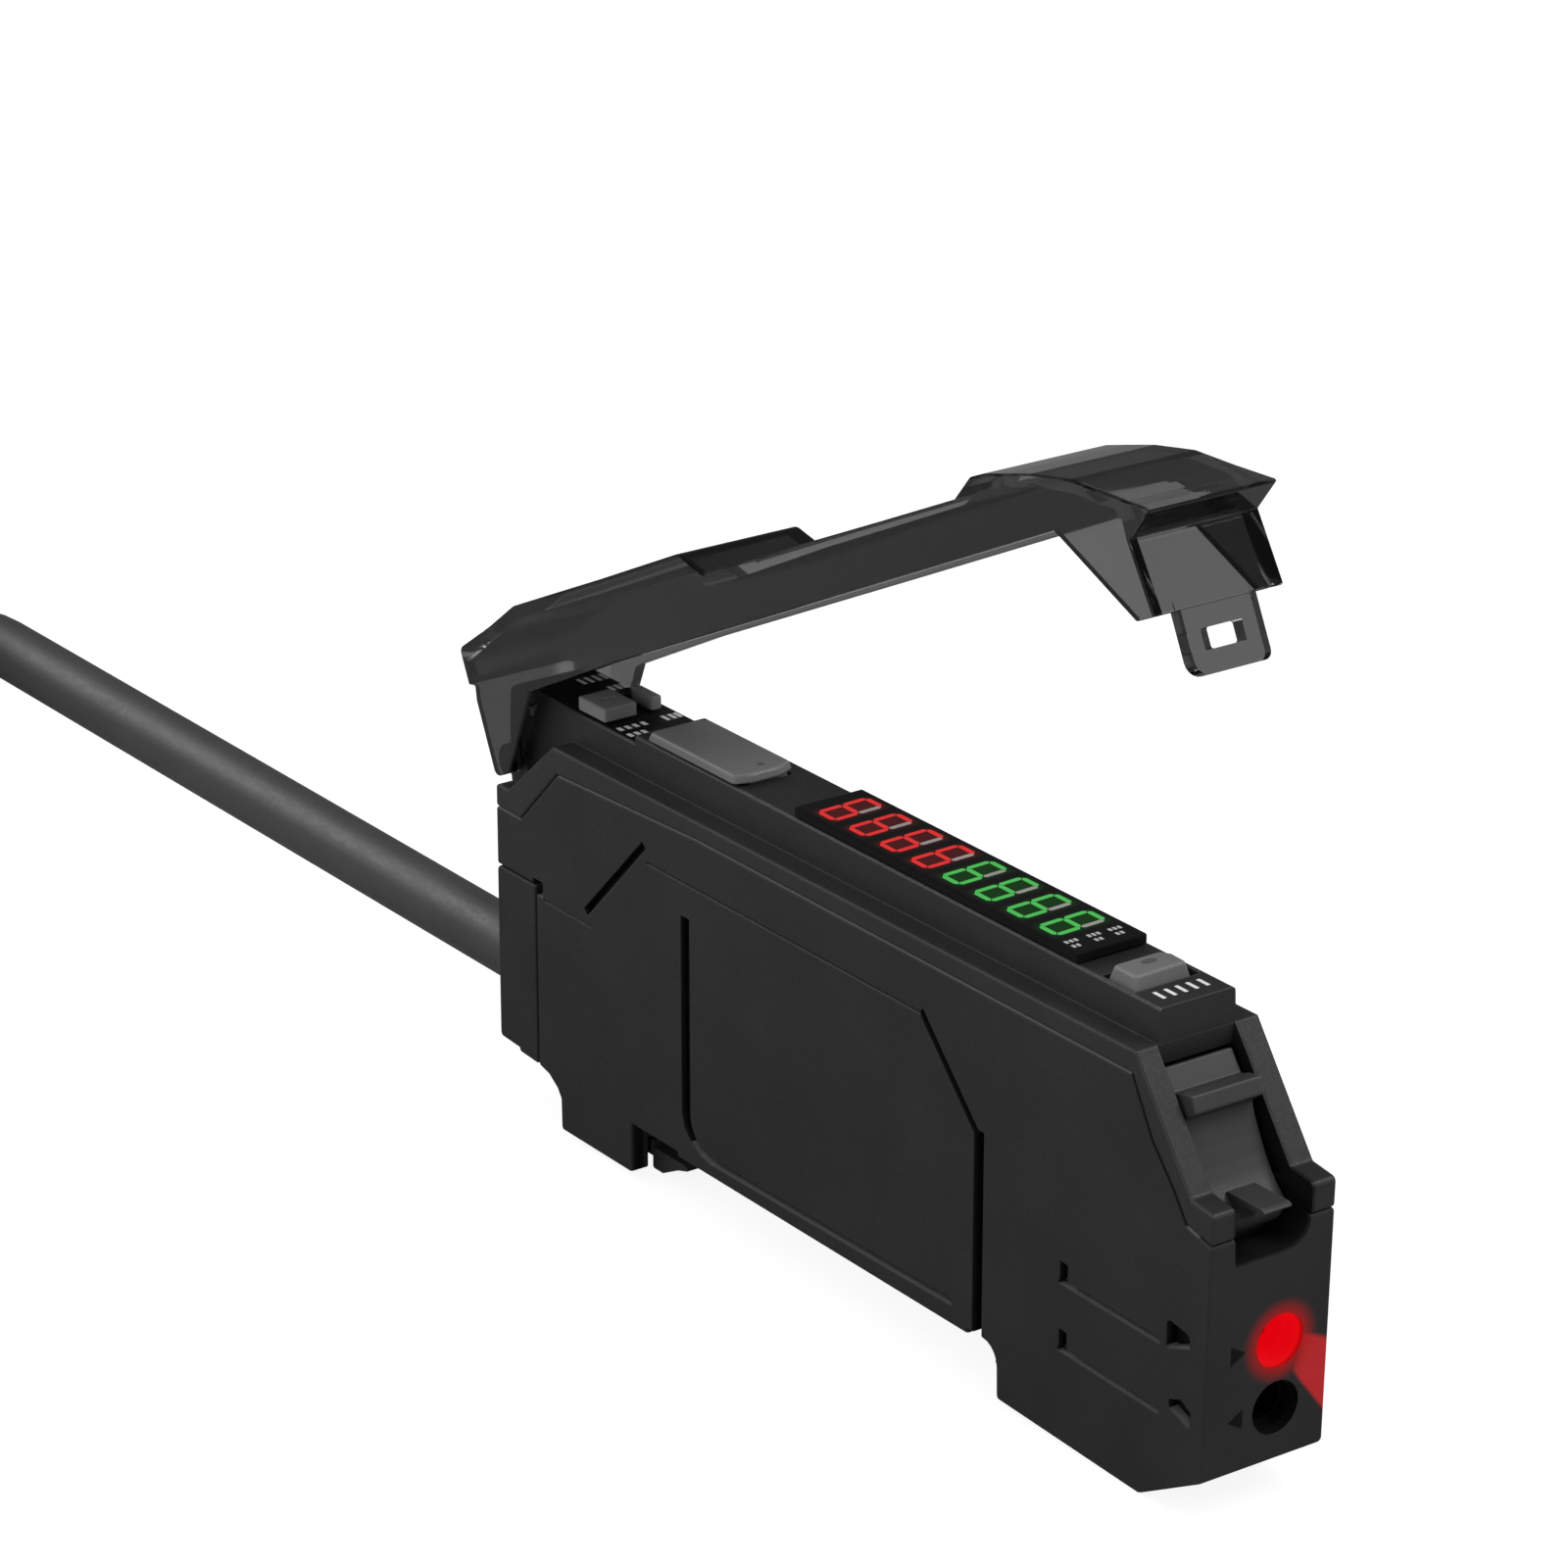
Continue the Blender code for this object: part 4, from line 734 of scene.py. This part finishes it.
window_rows = [one for y in (-1.8, -0.25, 1.2) for x, count in ((21.15, 3), (21.8, 2))
               for one in dashes(x, 0.34, 0.2, [y - 0.32 + 0.32 * i for i in range(count)])]
deck_rows = [one for row in DECK_ROWS for one in dashes(*row)]
for name, rows, level, ink, slot in (
        ("window_marks", window_rows, WINDOW_TOP, grey_ink, "display_window"),
        ("set_marks", dashes(*SET_ROW), SPINE_TOP, white_ink, "top_frame"),
        ("switch_marks", deck_rows, DECK_TOP, white_ink, "top_frame")):
    marks = slabs(name, rows, level - SUNK, level + MARK_PROUD)
    marks.data.materials.append(ink)
    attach(marks, "case")

# Marks in front of the two ports. Small raised triangles, outward for the light that leaves and inward
# for the light that comes back. Their near black is painted shade, standing in for engraved strokes.
OUTWARD, INWARD = [(-2.55, 6.1), (-1.55, 6.7), (-2.55, 7.3)], [(-1.55, 2.1), (-1.55, 3.3), (-2.55, 2.7)]
engraving_shade_black = plastic("engraving_shade_black", 0.004, 0.45, 0.6, 0.15)[0]
arrows = slabs("port_marks", [OUTWARD, INWARD], -MARK_PROUD, MARK_PROUD, facing="X")
for vert in arrows.data.vertices:
    vert.co.x += FACE_X + FACE_LEAN * vert.co.z
arrows.data.materials.append(engraving_shade_black)
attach(arrows, "case")

# Keys. Dark grey satin caps with softly rounded tops and a painted highlight along their upper edges. The
# rocker has a small dark dot at one end, and the set key a dark oval painted as the shade of a shallow
# dimple.
key_grey = plastic("key_grey", 0.128, 0.36, 0.48, 0.35, scale=7000.0, relief=0.06,
                   edge=0.34, width=0.00022)[0]
dress(key_grey, "rocker_key", "set_key")


def disc(x, y, radius, stretch=1.0, sides=20):
    """Round or oval outline."""
    turn = np.linspace(0, 2 * np.pi, sides, endpoint=False)
    return np.stack([x + radius * stretch * np.cos(turn), y + radius * np.sin(turn)], 1)


# One grey for the rocker's printed dot and for the painted shade of the set key's dimple.
print_and_dimple_shade = plastic("print_and_dimple_shade", 0.07, 0.4, 0.5, 0.3)[0]
for name, outline, level, body, slot in (
        ("rocker_dot", disc(-9.95, -0.24, 0.22), 25.25, "rocker", "rocker_key"),
        ("set_dimple_shade", disc(25.6, 0.0, 0.52, 0.5), 25.2, "set_button", "set_key")):
    dot = slabs(name, [outline], level - SUNK, level + MARK_PROUD)
    dot.data.materials.append(print_and_dimple_shade)
    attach(dot, body)

# Slide knobs. Small grey blocks of the slide switches.
knob_grey = plastic("knob_grey", 0.18, 0.38, 0.5, 0.35, scale=7000.0, relief=0.06, edge=0.2)[0]
dress(knob_grey, "slide_knob_a", "slide_knob_b")

# Lock lever and rail claw. Black acetal, a little smoother than the case.
lever_black = plastic("lever_black", 0.044, 0.4, 0.52, 0.33, scale=6000.0, relief=0.05, edge=0.09)[0]
dress(lever_black, "lock_lever")
claw_black = plastic("claw_black", 0.024, 0.4, 0.55, 0.33, scale=6000.0, relief=0.05)[0]
dress(claw_black, "din_claw")

# Pins and switch shells. Ground and nickel plated steel.
steel, shader = plastic("ground_steel", 0.56, 0.25, 0.4, 0.5, scale=9000.0)
shader.inputs["Metallic"].default_value = 1.0
dress(steel, "rocker_pin", "lever_pin", "slide_switch_body_a", "slide_switch_body_b")

# Boards. Green solder mask over glass cloth, with the weave showing faintly.
board_green = plastic("board_green", (0.012, 0.09, 0.04), 0.25, 0.4, 0.5, scale=2500.0, relief=0.05)[0]
dress(board_green, "key_board", "main_pcb")

# Parts on the boards and behind the ports. Black epoxy chip, switches, optic block, clamp pad and grommet.
part_black = plastic("part_black", 0.018, 0.42, 0.6, 0.4)[0]
dress(part_black, "controller_chip", "tact_switch_up", "tact_switch_down", "tact_switch_set",
      "optic_block", "cable_bush", "fibre_clamp_pad")
display_grey = plastic("display_grey", 0.32, 0.4, 0.55, 0.4)[0]
dress(display_grey, "display_module")
lens_dark = plastic("lens_dark", 0.012, 0.1, 0.2, 0.5)[0]
dress(lens_dark, "receiver_photodiode")
core_ends = plastic("core_ends", (0.28, 0.1, 0.03), 0.3, 0.4, 0.5)[0]
dress(core_ends, "cable_cores")
